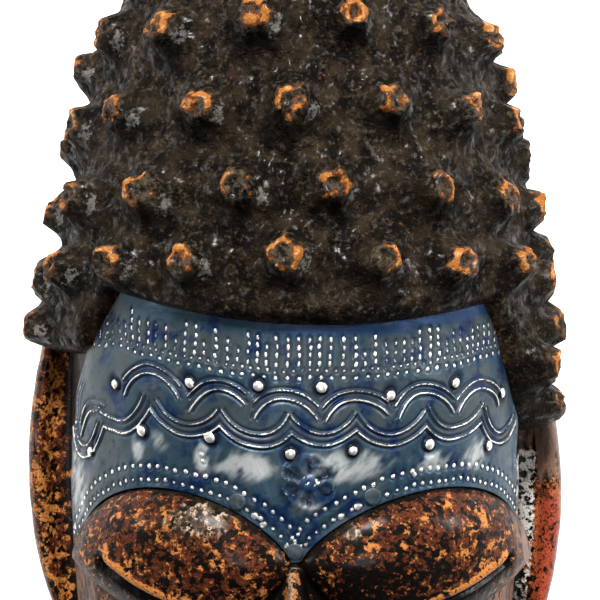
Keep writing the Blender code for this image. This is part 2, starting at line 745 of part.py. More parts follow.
def make_ears(forms):
    """Long ears with a raised rim and a channel beside the head."""
    for side, name in ((-1, "left"), (1, "right")):
        top = EAR_TOP if side < 0 else EAR_TOP - HAIR_OVERLAP
        length = EAR_LENGTH if side < 0 else EAR_LENGTH - HAIR_OVERLAP + EAR_DROP_RIGHT
        rings = []
        for step in range(EAR_STEPS + 1):
            share = step / EAR_STEPS
            y = top - length * share
            head = face_half_width(y)
            width = EAR_WIDTH * sqrt(max(sin(pi * share), 0.02))
            cut = [(head + width * (1.0 - inwards), EAR_BACK + EAR_HEIGHT * up)
                   for inwards, up in EAR_PROFILE]
            inside = head * EAR_INSIDE_SHARE
            cut = [(inside, cut[0][1])] + cut + [(inside, cut[-1][1])]
            rings.append([Vector((side * x, y, z)) for x, z in cut])
        loft(f"ear_{name}", rings, forms)


def make_hollow(collection):
    """The carved-out back: one wall inside the face, and open behind."""
    low = -(FACE_LENGTH - CHIN_WALL)
    high = HAIR_HEIGHT - WALL - CHIN_WALL
    rings = []
    for step in range(HOLLOW_STEPS + 1):
        share = step / HOLLOW_STEPS
        y = low + (high - low) * share
        width = face_half_width(min(y, 0.0))
        depth = face_depth(min(y, 0.0))
        if y > 0:
            blend = smooth_step(y / (2 * HAIR_OVERLAP))
            width += (hair_half_width(y) - HAIR_HALF_WIDTH + FACE_HALF_WIDTH - width) * blend
            depth += (hair_depth(y) - HAIR_DEPTH + FACE_DEPTH - depth) * blend
        fullness = sqrt(1.0 - abs(2 * share - 1) ** 8)
        rounding = HOLLOW_END_SHARE + (1.0 - HOLLOW_END_SHARE) * fullness
        rings.append(section((width - WALL) * rounding, (depth - WALL) * rounding, y, HOLLOW_ARCS,
                             floor=-BELOW_BACK, taper=0.0))
    loft("hollow", rings, collection)


def shade_by_angle(obj):
    """Round faces shade smooth, and edges sharper than the limit stay crisp."""
    nodes = bpy.data.node_groups.new("Shade by angle", "GeometryNodeTree")
    nodes.interface.new_socket("Geometry", in_out="INPUT", socket_type="NodeSocketGeometry")
    nodes.interface.new_socket("Geometry", in_out="OUTPUT", socket_type="NodeSocketGeometry")
    start = nodes.nodes.new("NodeGroupInput")
    end = nodes.nodes.new("NodeGroupOutput")
    smooth_faces = nodes.nodes.new("GeometryNodeSetShadeSmooth")
    sharp_edges = nodes.nodes.new("GeometryNodeSetShadeSmooth")
    sharp_edges.domain = "EDGE"
    sharp_edges.inputs["Shade Smooth"].default_value = False
    angle = nodes.nodes.new("GeometryNodeInputMeshEdgeAngle")
    is_sharp = nodes.nodes.new("FunctionNodeCompare")
    is_sharp.operation = "GREATER_THAN"
    is_sharp.inputs["B"].default_value = radians(SHARP_ANGLE)
    nodes.links.new(angle.outputs["Unsigned Angle"], is_sharp.inputs["A"])
    nodes.links.new(is_sharp.outputs["Result"], sharp_edges.inputs["Selection"])
    nodes.links.new(start.outputs["Geometry"], smooth_faces.inputs["Geometry"])
    nodes.links.new(smooth_faces.outputs["Geometry"], sharp_edges.inputs["Geometry"])
    nodes.links.new(sharp_edges.outputs["Geometry"], end.inputs["Geometry"])
    obj.modifiers.new("Shading", "NODES").node_group = nodes


def hide_operands(collection):
    for obj in collection.all_objects:
        obj.hide_render = True
        obj.display_type = "WIRE"


def build():
    clear_scene()
    work = new_collection("african_wooden_mask")
    cutters = new_collection("cutters")
    wood = new_material("stained_wood", COLORS["wood"], 0.45, 0.0)
    metal = new_material("blue_aluminium", COLORS["plate"], 0.40, 0.6)
    steel = new_material("nail_steel", COLORS["nail"], 0.45, 0.9)

    forms = new_collection("carved_forms", cutters)
    knobs = new_collection("hair_knobs", cutters)
    hollows = new_collection("hollows", cutters)
    holes = new_collection("nail_holes", cutters)

    mask = make_head(work, wood)
    make_hair(forms, cutters)
    make_lobes(forms, hollows)
    make_nose(forms, hollows)
    make_mouth(forms, hollows)
    make_ears(forms)
    make_knobs(knobs)
    make_hollow(hollows)
    make_nail_holes(holes)
    boolean(mask, "UNION", collection=forms)
    boolean(mask, "UNION", collection=knobs)
    boolean(mask, "DIFFERENCE", collection=hollows)
    boolean(mask, "DIFFERENCE", collection=holes)

    plate = make_plate(work, cutters, metal)
    boolean(plate, "DIFFERENCE", collection=holes)
    make_nails(work, steel)
    for piece in work.objects:
        shade_by_angle(piece)
    hide_operands(cutters)
    set_origin(mask, work, cutters)


def set_origin(mask, work, cutters):
    """Bring the middle of the outline over the origin, with the back rim at z = 0."""
    bpy.context.view_layer.update()
    solid = mask.evaluated_get(bpy.context.evaluated_depsgraph_get())
    corners = [Vector(corner) for corner in solid.bound_box]
    middle_x = (min(c.x for c in corners) + max(c.x for c in corners)) / 2
    middle_y = (min(c.y for c in corners) + max(c.y for c in corners)) / 2
    origin = bpy.data.objects.new("mask_origin", None)
    work.objects.link(origin)
    origin.location = (-middle_x, -middle_y, 0.0)
    for obj in list(work.objects) + list(cutters.all_objects):
        if obj is not origin:
            obj.parent = origin


build()
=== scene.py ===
# %% [markdown]
# # A carved mask with a knobbed hair dome
#
# The real mask is one block of wood, cut with gouge and knife, stained nearly
# black on the hair and varnished orange-brown on the face. A thin aluminium
# sheet, embossed from behind and painted blue, is nailed over the forehead.
#
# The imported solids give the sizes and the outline. This lesson lays a fine skin
# over the same forms: every carved form is a height over one smooth surface, so
# the whole face can be worked out with arrays of numbers instead of by hand.

import random
from math import ceil, degrees, pi

import bpy
import numpy as np
from mathutils import Matrix, Vector, noise

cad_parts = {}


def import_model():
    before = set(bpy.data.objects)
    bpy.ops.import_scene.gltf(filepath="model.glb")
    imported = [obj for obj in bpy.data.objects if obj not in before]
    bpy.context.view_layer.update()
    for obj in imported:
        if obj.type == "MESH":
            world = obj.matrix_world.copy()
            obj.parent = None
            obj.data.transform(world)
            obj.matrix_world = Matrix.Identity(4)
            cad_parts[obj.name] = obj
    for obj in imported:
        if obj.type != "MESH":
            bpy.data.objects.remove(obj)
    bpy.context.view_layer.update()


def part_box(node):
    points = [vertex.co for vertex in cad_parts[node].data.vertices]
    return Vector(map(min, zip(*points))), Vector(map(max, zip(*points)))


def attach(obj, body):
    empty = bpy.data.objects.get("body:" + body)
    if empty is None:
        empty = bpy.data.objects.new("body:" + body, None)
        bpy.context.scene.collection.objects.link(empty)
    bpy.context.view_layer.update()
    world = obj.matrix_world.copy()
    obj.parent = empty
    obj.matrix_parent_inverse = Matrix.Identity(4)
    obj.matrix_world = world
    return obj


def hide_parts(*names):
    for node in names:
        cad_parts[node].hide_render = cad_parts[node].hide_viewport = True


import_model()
mask_low, mask_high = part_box("carved_mask")
MM = 0.001

# %% [markdown]
# ## The smooth forms under the carving
#
# A carver first saws out two plain forms: the long face and the taller dome of
# hair. Both are half-rounds that stand on an upright side wall. A half-round is
# easy to describe: at each height y it has a half-width and a depth, and an
# angle says where on the curve a point lies, from -90 at the left wall over 0
# in the middle to 90 at the right wall.
#
# The driving sizes are those of the solids. While the forms are made, y is zero
# at the lowest point of the hairline. The last step moves the pieces in place.

# %% The driving sizes
FACE_LENGTH = 0.198
FACE_HALF_WIDTH = 0.0690
FACE_DEPTH = 0.064
HAIR_HEIGHT = 0.157
HAIR_HALF_WIDTH = 0.0755
HAIR_DEPTH = 0.072
WALL_HEIGHT = 0.021
WALL_TAPER = 0.003
HAIRLINE_Y = mask_low.y + FACE_LENGTH

# Width and depth of the face from the hairline, 0, to the chin, 1
FACE_WIDTH_SHARES = (
    (-0.10, 0.99), (0.0, 1.0), (0.25, 1.004), (0.40, 0.985), (0.55, 0.93),
    (0.70, 0.815), (0.83, 0.64), (0.93, 0.42), (0.98, 0.23), (1.0, 0.06),
)
FACE_DEPTH_SHARES = (
    (-0.10, 0.98), (0.0, 1.0), (0.13, 1.010), (0.25, 0.995), (0.35, 0.945), (0.45, 0.885),
    (0.55, 0.845), (0.70, 0.828), (0.83, 0.79), (0.93, 0.64), (0.98, 0.38), (1.0, 0.12),
)
HAIR_TAPER_SHARE = 1.30
HAIR_ROUNDING = 8
HAIR_CROWN_POWER = 0.45
HAIR_DEPTH_POWER = 0.7
HAIR_TUCK = 0.015
HAIR_TUCK_LENGTH = 0.035
print("the hairline's lowest point is at y", round(HAIRLINE_Y / MM, 1), "mm")

# %% [markdown]
# ## Soft borders and soft curves
#
# Nothing on a carving starts or ends abruptly. Three small functions describe a
# soft change: a step from 0 to 1, the same step past a border, and the step down
# before one. Two more describe a soft line and a soft spot, and the last draws a
# smooth curve through a few stations, as a carver's template does.


# %% Soft borders
def smooth_step(value):
    value = np.clip(value, 0.0, 1.0)
    return value * value * (3.0 - 2.0 * value)


def past(value, border, fade):
    """0 up to a border, then softly up to 1 over the length of the fade."""
    return smooth_step((value - border) / fade)


def before(value, border, fade):
    """Softly down from 1 over the length of the fade, and 0 from the border on."""
    return smooth_step((border - value) / fade)


def line(distance, width):
    """1 on a line, and softly down to 0 beside it."""
    return np.exp(-((distance / width) ** 2))


def spot(x, y, at_x, at_y, wide, tall):
    """1 in the middle of a spot, and softly down to 0 around it."""
    return np.exp(-((x - at_x) / wide) ** 2 - ((y - at_y) / tall) ** 2)


print("a soft step at its quarters:", smooth_step(np.linspace(0.0, 1.0, 5)).round(2))


# %% Curves through stations
def curve_through(stations, position):
    """A smooth curve through (position, value) pairs, read at many positions."""
    place, value = np.array(stations, float).T
    number = np.arange(len(place))
    last, following = np.maximum(number - 1, 0), np.minimum(number + 1, len(place) - 1)
    slope = (value[following] - value[last]) / (place[following] - place[last])
    position = np.clip(position, place[0], place[-1])
    i = np.clip(np.searchsorted(place, position, side="right") - 1, 0, len(place) - 2)
    span = place[i + 1] - place[i]
    t = (position - place[i]) / span
    return (
        (2 * t**3 - 3 * t**2 + 1) * value[i] + (t**3 - 2 * t**2 + t) * span * slope[i]
        + (3 * t**2 - 2 * t**3) * value[i + 1] + (t**3 - t**2) * span * slope[i + 1]
    )


half_way = float(curve_through(FACE_WIDTH_SHARES, 0.5))
print("half-way down, the face has", round(half_way, 3), "of its full width")


# %% Half-rounds
def face_half_width(y):
    return FACE_HALF_WIDTH * curve_through(FACE_WIDTH_SHARES, -y / FACE_LENGTH)


def face_depth(y):
    return FACE_DEPTH * curve_through(FACE_DEPTH_SHARES, -y / FACE_LENGTH)


def hair_half_width(y):
    share = np.clip(y / HAIR_HEIGHT, 0.0, 1.0)
    rounded = np.sqrt(1.0 - share / HAIR_TAPER_SHARE) * (1.0 - share**HAIR_ROUNDING) ** HAIR_CROWN_POWER
    tucked = 1.0 - HAIR_TUCK * smooth_step(-y / HAIR_TUCK_LENGTH)
    return HAIR_HALF_WIDTH * np.where(y > 0, rounded, tucked)


def hair_depth(y):
    share = np.clip(hair_half_width(y) / HAIR_HALF_WIDTH, 0.0, 1.0) ** HAIR_DEPTH_POWER
    return HAIR_DEPTH * np.where(y > 0, share, 1.0)


def unit(vectors):
    return vectors / np.maximum(np.linalg.norm(vectors, axis=-1, keepdims=True), 1e-9)


def half_round(half_width, depth, angle, y):
    """Points on a half-round and the directions that stand straight off it."""
    step = 0.0005
    angle, y = np.broadcast_arrays(np.asarray(angle, float), np.asarray(y, float))
    turn = np.radians(angle)
    width, height = half_width(y), depth(y)
    wide_slope = (half_width(y + step) - half_width(y - step)) / (2 * step)
    deep_slope = (depth(y + step) - depth(y - step)) / (2 * step)
    none = np.zeros_like(y)
    across = np.stack([width * np.cos(turn), none, -height * np.sin(turn)], -1)
    upward = np.stack([wide_slope * np.sin(turn), none + 1.0, deep_slope * np.cos(turn)], -1)
    points = np.stack([width * np.sin(turn), y, WALL_HEIGHT + height * np.cos(turn)], -1)
    return points, unit(np.cross(across, upward))


print("the forehead is", round(2 * float(face_half_width(np.array(0.0))) / MM), "mm wide")

# %% [markdown]
# ## The hair's lower edge
#
# The hair stands about seven millimetres proud of the face, and its edge sags
# over the forehead. At the left it stops beside the temple, at the right it
# hangs down along the sheet. The rows of the skin follow this edge, because an
# edge that runs along a row stays sharp and even, and one that cuts across the
# rows turns into a saw.

# %% Where the hair ends
HAIRLINE_LEFT = 0.053
HAIRLINE_LOWEST_X = 0.008
HAIRLINE_SAG = 0.0098
HAIRLINE_SPAN = (-0.054, 0.0575)
PLATE_THICKNESS = 0.0008
FIT_GAP = 0.0003
# Front view of the edge beyond the sagging part: x and y
HAIR_ENDS_LEFT = ((-0.0702, -0.0088), (-0.0650, -0.0088), (-0.0615, -0.0068), (-0.0590, -0.0005))
HAIR_ENDS_RIGHT = (
    (0.0612, -0.0040), (0.0630, -0.0125), (0.0655, -0.0215), (0.0678, -0.0290), (0.0695, -0.0325),
    (0.0702, -0.0330),
)


def hairline(x):
    return HAIRLINE_SAG * ((x - HAIRLINE_LOWEST_X) / (HAIRLINE_LEFT + HAIRLINE_LOWEST_X)) ** 2


def hair_edge(angle):
    """Height of the hair's lower edge at each angle."""
    x = (FACE_HALF_WIDTH + FIT_GAP + PLATE_THICKNESS) * np.sin(np.radians(angle))
    sagging = [(step, hairline(step)) for step in np.linspace(*HAIRLINE_SPAN, 30)]
    corner_x, corner_y = np.array([*HAIR_ENDS_LEFT, *sagging, *HAIR_ENDS_RIGHT]).T
    return np.interp(x, corner_x, corner_y)


print("at the right the hair hangs down", round(-float(hair_edge(90)) / MM), "mm beside the sheet")

# %% [markdown]
# The grid is fine where knobs and lobes need it and coarser where the wood is
# plain, and rows crowd together around the hair's edge. The first and last
# columns run down the upright side wall.

# %% Rows and columns of the skin
EDGE_REACH_DOWN = 0.078
EDGE_REACH_UP = 0.060
FINE = 0.0009
# Stretches of rows, from the chin to the crown: start, end and spacing
ROWS_BELOW_EDGE = (
    (-FACE_LENGTH, -0.190, FINE), (-0.190, -0.088, 0.0013), (-0.088, -0.044, FINE),
    (-0.044, -0.001, 0.0020),
)
ROWS_AT_EDGE = (-0.0010, -0.0004, 0.0, 0.00015, 0.0004, 0.0008, 0.0013, 0.0019, 0.0026)
ROWS_ABOVE_EDGE = ((0.0034, 0.099, FINE), (0.099, 0.146, 0.0016), (0.146, 0.1560, 0.0006))
ROWS_AT_CROWN = (0.1560, 0.1564)
# Stretches of columns, from the middle to a side, in degrees
COLUMN_STRETCHES = ((0.25, 12.0, 0.5), (12.0, 84.0, 0.78), (84.0, 90.0, 1.0))
WALL_STEPS = 11


def spaced(start, end, spacing):
    return np.linspace(start, end, max(1, round(abs(end - start) / spacing)) + 1)[:-1]


row_places = np.concatenate([
    *(spaced(*stretch) for stretch in ROWS_BELOW_EDGE), ROWS_AT_EDGE,
    *(spaced(*stretch) for stretch in ROWS_ABOVE_EDGE), ROWS_AT_CROWN,
])
half_columns = np.concatenate([spaced(*stretch) for stretch in COLUMN_STRETCHES])
wall_columns = np.full(WALL_STEPS + 1, 90.0)
column_angles = np.concatenate([-wall_columns, -half_columns[::-1], half_columns, wall_columns])
wall_drops = np.linspace(1.0, 0.0, WALL_STEPS + 1)
column_drops = np.concatenate([wall_drops, np.zeros(2 * len(half_columns)), wall_drops[::-1]])
angle, row = np.meshgrid(column_angles, row_places)
drop = np.broadcast_to(column_drops, angle.shape)
pull = np.where(row < 0, 1 - smooth_step(-row / EDGE_REACH_DOWN), 1 - smooth_step(row / EDGE_REACH_UP))
height = row + hair_edge(angle) * pull
print("the skin has", angle.shape[0], "rows and", angle.shape[1], "columns")

# %% [markdown]
# ## Roughness that comes from the hand
#
# Cut wood is never even. Blender's own noise gives each point a number that
# changes softly from place to place. Two sizes of it together read as tool
# marks: broad hollows from the gouge, and small ones from the knife.


# %% Noise in arrays
# Each further octave is this much weaker and smaller than the one before
OCTAVE_SHARE = 0.5
OCTAVE_SEED_STEP = 7.3
NOISE_GAIN = 1.6


def soft_noise(points, size, seed=0.0, octaves=1):
    """Noise between about -1 and 1 whose lumps are as wide as size."""
    total = np.zeros(points.shape[:-1])
    strength, reach = 1.0, 0.0
    for _ in range(octaves):
        moved = (points / size + seed).reshape(-1, 3).tolist()
        values = np.fromiter((noise.noise(p) for p in moved), float, len(moved))
        total += strength * values.reshape(total.shape)
        reach += strength
        strength, size, seed = strength * OCTAVE_SHARE, size * OCTAVE_SHARE, seed + OCTAVE_SEED_STEP
    return total / reach * NOISE_GAIN


sample = np.linspace((0.0, 0.0, 0.0), (0.004, 0.0, 0.0), 5)
print("noise along four millimetres:", soft_noise(sample, 0.002, 0.5).round(2))

# %% [markdown]
# ## Blunt knobs on the hair
#
# Each knob is a short thorn left standing between gouge cuts. It has five or six
# flanks, a blunt top nearly a centimetre wide, and a sharp rim around that top.
# The knobs use the seed and the rows of the solids, so each one stands on its
# own solid knob.

# %% Place the knobs
KNOB_HEIGHT = 0.0088
KNOB_BASE_RADIUS = 0.0125
KNOB_SPREAD = 0.0013
KNOB_ROW_DROOP = 0.0070
KNOB_WIDEST_ANGLE = 88.5
KNOB_HIGHEST_SHARE = 0.985
KNOB_FACETS = (5, 6)
KNOB_VARIATION = 0.08
KNOB_SEED = 11
# Rows: height as a share of the hair's, angle between knobs, angle of one knob
KNOB_ROWS = (
    (0.124, 21.5, -2.5), (0.260, 24.5, -14.5), (0.414, 25.5, 0), (0.575, 28, -12),
    (0.720, 32, 3), (0.850, 37, -16), (0.950, 62, 4),
)
# Single knobs beside the forehead and on both sides: height and angle
SIDE_KNOBS = (
    (-0.0020, -84), (-0.0010, 84), (-0.0125, 73), (-0.0255, 84),
    (0.0215, 88), (0.0500, 88), (0.0728, 88), (0.0550, -88), (0.0775, -88),
)


def knob_places():
    places = []
    for share, spacing, one_angle in KNOB_ROWS:
        count = ceil(KNOB_WIDEST_ANGLE / spacing) + 1
        for number in range(-count, count + 1):
            at = one_angle + number * spacing
            if abs(at) <= KNOB_WIDEST_ANGLE:
                droop = KNOB_ROW_DROOP * (at / KNOB_WIDEST_ANGLE) ** 2
                places.append((at, share * HAIR_HEIGHT - droop))
    return places + [(at, y) for y, at in SIDE_KNOBS]


print(len(knob_places()), "knobs stand on the hair")


# %% Stand the knobs up
def knob_frames():
    """Each knob's place, its own directions, its number of flanks and its sizes."""
    chance = random.Random(KNOB_SEED)
    frames = []
    for at, y in knob_places():
        flanks = chance.choice(KNOB_FACETS)
        highest = KNOB_HIGHEST_SHARE * HAIR_HEIGHT
        width = float(hair_half_width(np.array(min(y, highest))))
        shift = degrees(chance.uniform(-KNOB_SPREAD, KNOB_SPREAD) / width)
        level = min(y + chance.uniform(-KNOB_SPREAD, KNOB_SPREAD), highest)
        turn = Matrix.Rotation(chance.uniform(0.0, 2 * pi), 4, "Z")
        point, normal = half_round(hair_half_width, hair_depth, at + shift, level)
        stand = Vector(normal).to_track_quat("Z", "Y").to_matrix().to_4x4() @ turn
        scale = [chance.uniform(1 - KNOB_VARIATION, 1 + KNOB_VARIATION) for _ in range(3)]
        frames.append((point, np.array(stand.to_3x3()), flanks, scale))
    return frames


print("flanks of the first knobs:", [flanks for _, _, flanks, _ in knob_frames()[:8]])

# %% [markdown]
# A knob's form is one curve from its middle to its foot. To give it flanks, the
# distance from the middle is measured along a polygon's sides instead of a
# circle. That keeps the knob a height over the skin, so it needs no joining.

# %% One knob
# From a knob's middle to its foot: shares of its base radius and of its height
KNOB_PROFILE = (
    (0.0, 0.88), (0.16, 0.90), (0.29, 0.97), (0.35, 0.95), (0.44, 0.79), (0.58, 0.49),
    (0.76, 0.25), (0.96, 0.09), (1.15, 0.01), (1.20, 0.0),
)
KNOB_REACH = 1.35
RIM_SHARE = 0.35
CAP_TILT = 0.35
CAP_END_SHARE = 0.5
FLANK_SHARPNESS = 0.75
# Flanks start on the cap and grow blunter towards the foot: from where, and over what length
FLANKS_START, BLUNTING_START = (0.08, 0.3), (0.6, 0.5)
BLUNTING = 0.6
LUMP_SIZE = 0.0036
LUMP_SEED = 2.0
LUMPINESS = 0.19


def on_knob(x, y, flanks):
    """How far out on a knob each point lies, in which direction, and how near a corner between flanks."""
    radius, around = np.hypot(x, y) / KNOB_BASE_RADIUS, np.arctan2(y, x)
    sector = 2 * pi / flanks
    polygon = np.cos(sector / 2) / np.cos(np.mod(around, sector) - sector / 2)
    blunter = 1 - BLUNTING * past(radius, *BLUNTING_START)
    sharpness = FLANK_SHARPNESS * past(radius, *FLANKS_START) * blunter
    corner = np.abs(np.mod(around + sector / 2, sector) - sector / 2) * radius
    return radius / polygon**sharpness, around, corner


def knob_height(x, y, share, lumps, chance):
    """Height over the hair: the profile with a tilted cap and knife-cut lumps."""
    tilt_x, tilt_y = chance.uniform(-CAP_TILT, CAP_TILT), chance.uniform(-CAP_TILT, CAP_TILT)
    tilted = 1 + (x * tilt_x + y * tilt_y) / KNOB_BASE_RADIUS * (share < CAP_END_SHARE)
    top = curve_through(KNOB_PROFILE, share) * tilted * (1 + LUMPINESS * lumps)
    return KNOB_HEIGHT * np.clip(top, 0.0, 1.0)


print("a knob's rim is", round(2 * RIM_SHARE * KNOB_BASE_RADIUS / MM, 1), "mm wide")

# %% [markdown]
# Hands have rubbed the rims, part of the blunt tops and the corners between the
# flanks back to bare orange wood, most on the side towards the crown. At the
# foot of a knob, on its lower side, a shadow is painted black into the stain.
# A glint is painted in grey on one flank beside it.

# %% Wear of the knobs
WEAR_SEED = 5
BREAK_SIZE = 0.0030
BREAK_SEED = 21.0
WEAKEST_WEAR = 0.85
WEAR_SWAY = 1.2
# Wear of a rim: all around, more towards the crown, and broken up
RIM_WEAR, RIM_WEAR_TO_CROWN, RIM_WEAR_BROKEN = 0.53, 0.24, 0.34
RIM_WIDTH = 0.13
RIM_WANDER = 0.07
CAP_WEAR = (0.32, 0.40, 0.48)
CAP_UNEVENNESS = 0.25
CORNER_WEAR = 0.55
CORNER_WIDTH = 0.05
CORNER_END = (0.85, 0.4)
# Smallest cosine of the turn from the worn side at which a corner is worn
CORNER_LIMIT = 0.3
# Turn from the crown's side of a knob to the flank with its painted glint, in radians
GLINT_TURN = 1.9
# Borders of the painted foot shadow and flank glint, each with the length of its fade
FOOT_START, FOOT_END, GLINT_END = (0.3, 0.3), (1.25, 0.7), (1.05, 0.4)
# Darkness of the shadow painted at a knob's foot, and how much it changes to its upper and lower side
FOOT_SHADOW_DARKNESS, FOOT_CHANGE = 0.55, 0.45


def knob_wear(points, share, around, corner, lumps, to_crown, chance):
    """Rubbed places of a knob: a broken ring on its rim, part of its cap, and some corners."""
    strength = chance.uniform(WEAKEST_WEAR, 1.0)
    heading = to_crown + chance.uniform(-WEAR_SWAY, WEAR_SWAY)
    facing = np.cos(around - heading)
    broken = soft_noise(points, BREAK_SIZE, BREAK_SEED, 2)
    uneven = RIM_WEAR + RIM_WEAR_TO_CROWN * facing + RIM_WEAR_BROKEN * broken
    rim = line(share - RIM_SHARE - RIM_WANDER * broken, RIM_WIDTH) * uneven
    cap = (chance.choice(CAP_WEAR) + CAP_UNEVENNESS * lumps) * (share < RIM_SHARE)
    edge = line(corner, CORNER_WIDTH) * before(share, *CORNER_END) * (share > RIM_SHARE)
    edge *= CORNER_WEAR * (facing > CORNER_LIMIT)
    return strength * np.clip(np.maximum.reduce([rim, cap, edge]), 0, 1)


print("wear reaches", round(RIM_WIDTH * KNOB_BASE_RADIUS / MM, 1), "mm to both sides of a rim")


# %% All knobs on the hair
def raise_knobs(points):
    """Height of the knobs along their directions, their wear, and the shadows and glints painted around
    them.
    """
    lift, wear, foot, painted_glint = (np.zeros(points.shape[:-1]) for _ in range(4))
    direction = np.zeros_like(points)
    chance = random.Random(WEAR_SEED)
    for centre, directions, flanks, scale in knob_frames():
        away = points - centre
        near = np.linalg.norm(away, axis=-1) < KNOB_REACH * KNOB_BASE_RADIUS
        local = away[near] @ directions
        x, y = local[:, 0] / scale[0], local[:, 1] / scale[1]
        share, around, corner = on_knob(x, y, flanks)
        lumps = soft_noise(points[near], LUMP_SIZE, LUMP_SEED, 2)
        to_crown = np.arctan2(directions[1, 1] / scale[1], directions[1, 0] / scale[0])
        raised = scale[2] * knob_height(x, y, share, lumps, chance)
        rubbed = knob_wear(points[near], share, around, corner, lumps, to_crown, chance)
        taller = raised > lift[near]
        wear[near] = np.where(taller, rubbed, wear[near])
        direction[near] = np.where(taller[:, None], directions[:, 2], direction[near])
        lift[near] = np.maximum(lift[near], raised)
        # A shadow painted at the knob's foot, darkest on its lower side, and a glint painted on one flank
        flank = before(share, *FOOT_END) * past(share, *FOOT_START)
        shadow_side = FOOT_SHADOW_DARKNESS - FOOT_CHANGE * np.cos(around - to_crown)
        beside = np.clip(np.cos(around - to_crown + GLINT_TURN), 0, 1) ** 2 * before(share, *GLINT_END)
        foot[near] = np.maximum(foot[near], flank * shadow_side)
        painted_glint[near] = np.maximum(painted_glint[near], flank * beside)
    return lift[..., None] * direction, wear, foot, painted_glint


print("a knob changes the skin within", round(KNOB_REACH * KNOB_BASE_RADIUS / MM, 1), "mm of its middle")

# %% [markdown]
# ## Lobes, nose and mouth
#
# Under the forehead sit two heavy lids with the line of a closed eye in each.
# A swelling of this kind has an outline given by two reaches and a full, steep
# edge. To raise the skin, each of its points needs to know how far out in the
# swelling it lies, from 0 in the middle to 1 at the edge. The equation has no
# neat answer, so the share is found by halving an interval, for all points at
# once.

# %% Swellings
# Middle and half-width of each lobe, in degrees
LOBES = ((-36.5, 35.5), (42.0, 40.5))
LOBE_DROP = 0.3535 * FACE_LENGTH
LOBE_UPPER_HEIGHT = 0.0215
LOBE_LOWER_HEIGHT = 0.018
LOBE_DROOP = 0.6
LOBE_POINTEDNESS = 1.5
LOBE_RISE = 0.0105
DOME_FULLNESS = 2.4
DOME_STEEPNESS = 0.6
# The largest share that is looked for, and how often its interval is halved
FURTHEST_SHARE = 8.0
HALVINGS = 26


def swelling_share(angle, y, middle, drop, half_angle, upper, lower, droop, pointedness, outward):
    """How far out in a swelling each point lies: 0 in its middle, 1 at its edge."""
    side = (angle - middle) * outward / half_angle
    above = y + drop
    low, high = np.abs(side) + 1e-6, np.full_like(side, FURTHEST_SHARE)
    for _ in range(HALVINGS):
        share = 0.5 * (low + high)
        cosine = np.clip(side / share, -1.0, 1.0)
        sine = np.sqrt(1.0 - cosine**2)
        reach = np.where(above > 0, upper, lower * (1.0 - droop * cosine))
        outside = share * reach * sine**pointedness > np.abs(above)
        high, low = np.where(outside, share, high), np.where(outside, low, share)
    return share


def dome(share):
    return np.clip(1.0 - np.clip(share, 0, 1) ** DOME_FULLNESS, 0.0, 1.0) ** DOME_STEEPNESS


print("the lobes are", [round(2 * FACE_HALF_WIDTH * np.radians(half) / MM) for _, half in LOBES], "mm wide")

# %% [markdown]
# The line of a closed eye is cut with one sweep of a small gouge: a groove, a
# shaded hollow right under it, and a rolled rim above it that catches wear. All
# three follow from the distance to a short curve, so the next function measures
# how far each point lies from the nearest of some curves.


# %% Distance to curves
def beside_curves(x, y, curves):
    """Distance to the nearest of some curves, positive above, and the share walked along it."""
    away, walked, above = np.full_like(x, np.inf), np.zeros_like(x), np.zeros_like(x)
    for curve in curves:
        for number, (start, end) in enumerate(zip(curve, curve[1:])):
            along = end - start
            share = ((x - start[0]) * along[0] + (y - start[1]) * along[1]) / (along @ along)
            share = np.clip(share, 0.0, 1.0)
            off_x, off_y = x - start[0] - share * along[0], y - start[1] - share * along[1]
            distance = np.hypot(off_x, off_y)
            nearer = distance < away
            walked = np.where(nearer, (number + share) / (len(curve) - 1), walked)
            above = np.where(nearer, np.sign(along[0] * off_y - along[1] * off_x), above)
            away = np.minimum(away, distance)
    return away * above, walked


straight = np.array([(0.0, 0.0), (0.010, 0.0)])
over, share_along = beside_curves(np.array([0.005]), np.array([0.003]), [straight])
print("a point lies", over[0] / MM, "mm over a line, at", share_along[0], "of its length")

# %% The lid line
# Side outward as a share of the lobe's half-width, and height over its middle
EYELID_LINE = (
    (0.34, 0.0012), (0.30, -0.0005), (0.21, -0.0028), (0.08, -0.0060),
    (-0.09, -0.0095), (-0.28, -0.0126), (-0.48, -0.0152),
)
GROOVE_DEPTH = 0.0020
GROOVE_WIDTH = 0.0011
GROOVE_REACH = (0.0030, 0.001)
HOLLOW_DEPTH = 0.0016
HOLLOW_LENGTH = 0.0045
HOLLOW_EDGE = 0.0010
HOLLOW_DARKNESS = 0.75
LID_RIM_RISE = 0.0007
LID_RIM_AWAY = 0.0024
LID_RIM_WIDTH = 0.0013
LID_RIM_WEAR_WIDTH = 0.0012
LID_END_SHARE = 0.08
# Zone below the lid: the fade at its start, and its reach with the length of its fade
BELOW_LID_FADE, BELOW_LID_REACH = 0.0015, (0.012, 0.005)


def lid_line(outward, up, reach):
    """Lift of the skin around one lid line, the shade painted into its groove and hollow, its rim, and the
    zone below it.
    """
    curve = np.array([(side * reach, level) for side, level in EYELID_LINE[::-1]])
    above, walked = beside_curves(outward, up, [curve])
    away = np.abs(above)
    ends = smooth_step(walked / LID_END_SHARE) * smooth_step((1 - walked) / LID_END_SHARE)
    groove = line(away, GROOVE_WIDTH)
    hollow = smooth_step(0.5 - above / HOLLOW_EDGE) * np.exp(-away / HOLLOW_LENGTH) * ends
    over_line = (above > 0) * ends
    lift = LID_RIM_RISE * line(away - LID_RIM_AWAY, LID_RIM_WIDTH) * over_line - HOLLOW_DEPTH * hollow
    lift -= GROOVE_DEPTH * groove * before(away, *GROOVE_REACH)
    rim = line(away - LID_RIM_AWAY, LID_RIM_WEAR_WIDTH) * over_line
    below = before(above, 0.0, BELOW_LID_FADE) * before(away, *BELOW_LID_REACH) * ends
    # Groove and hollow are darkened as painted shade
    return lift, np.maximum(groove, HOLLOW_DARKNESS * hollow), rim, below


print("the lid line has", len(EYELID_LINE), "stations")

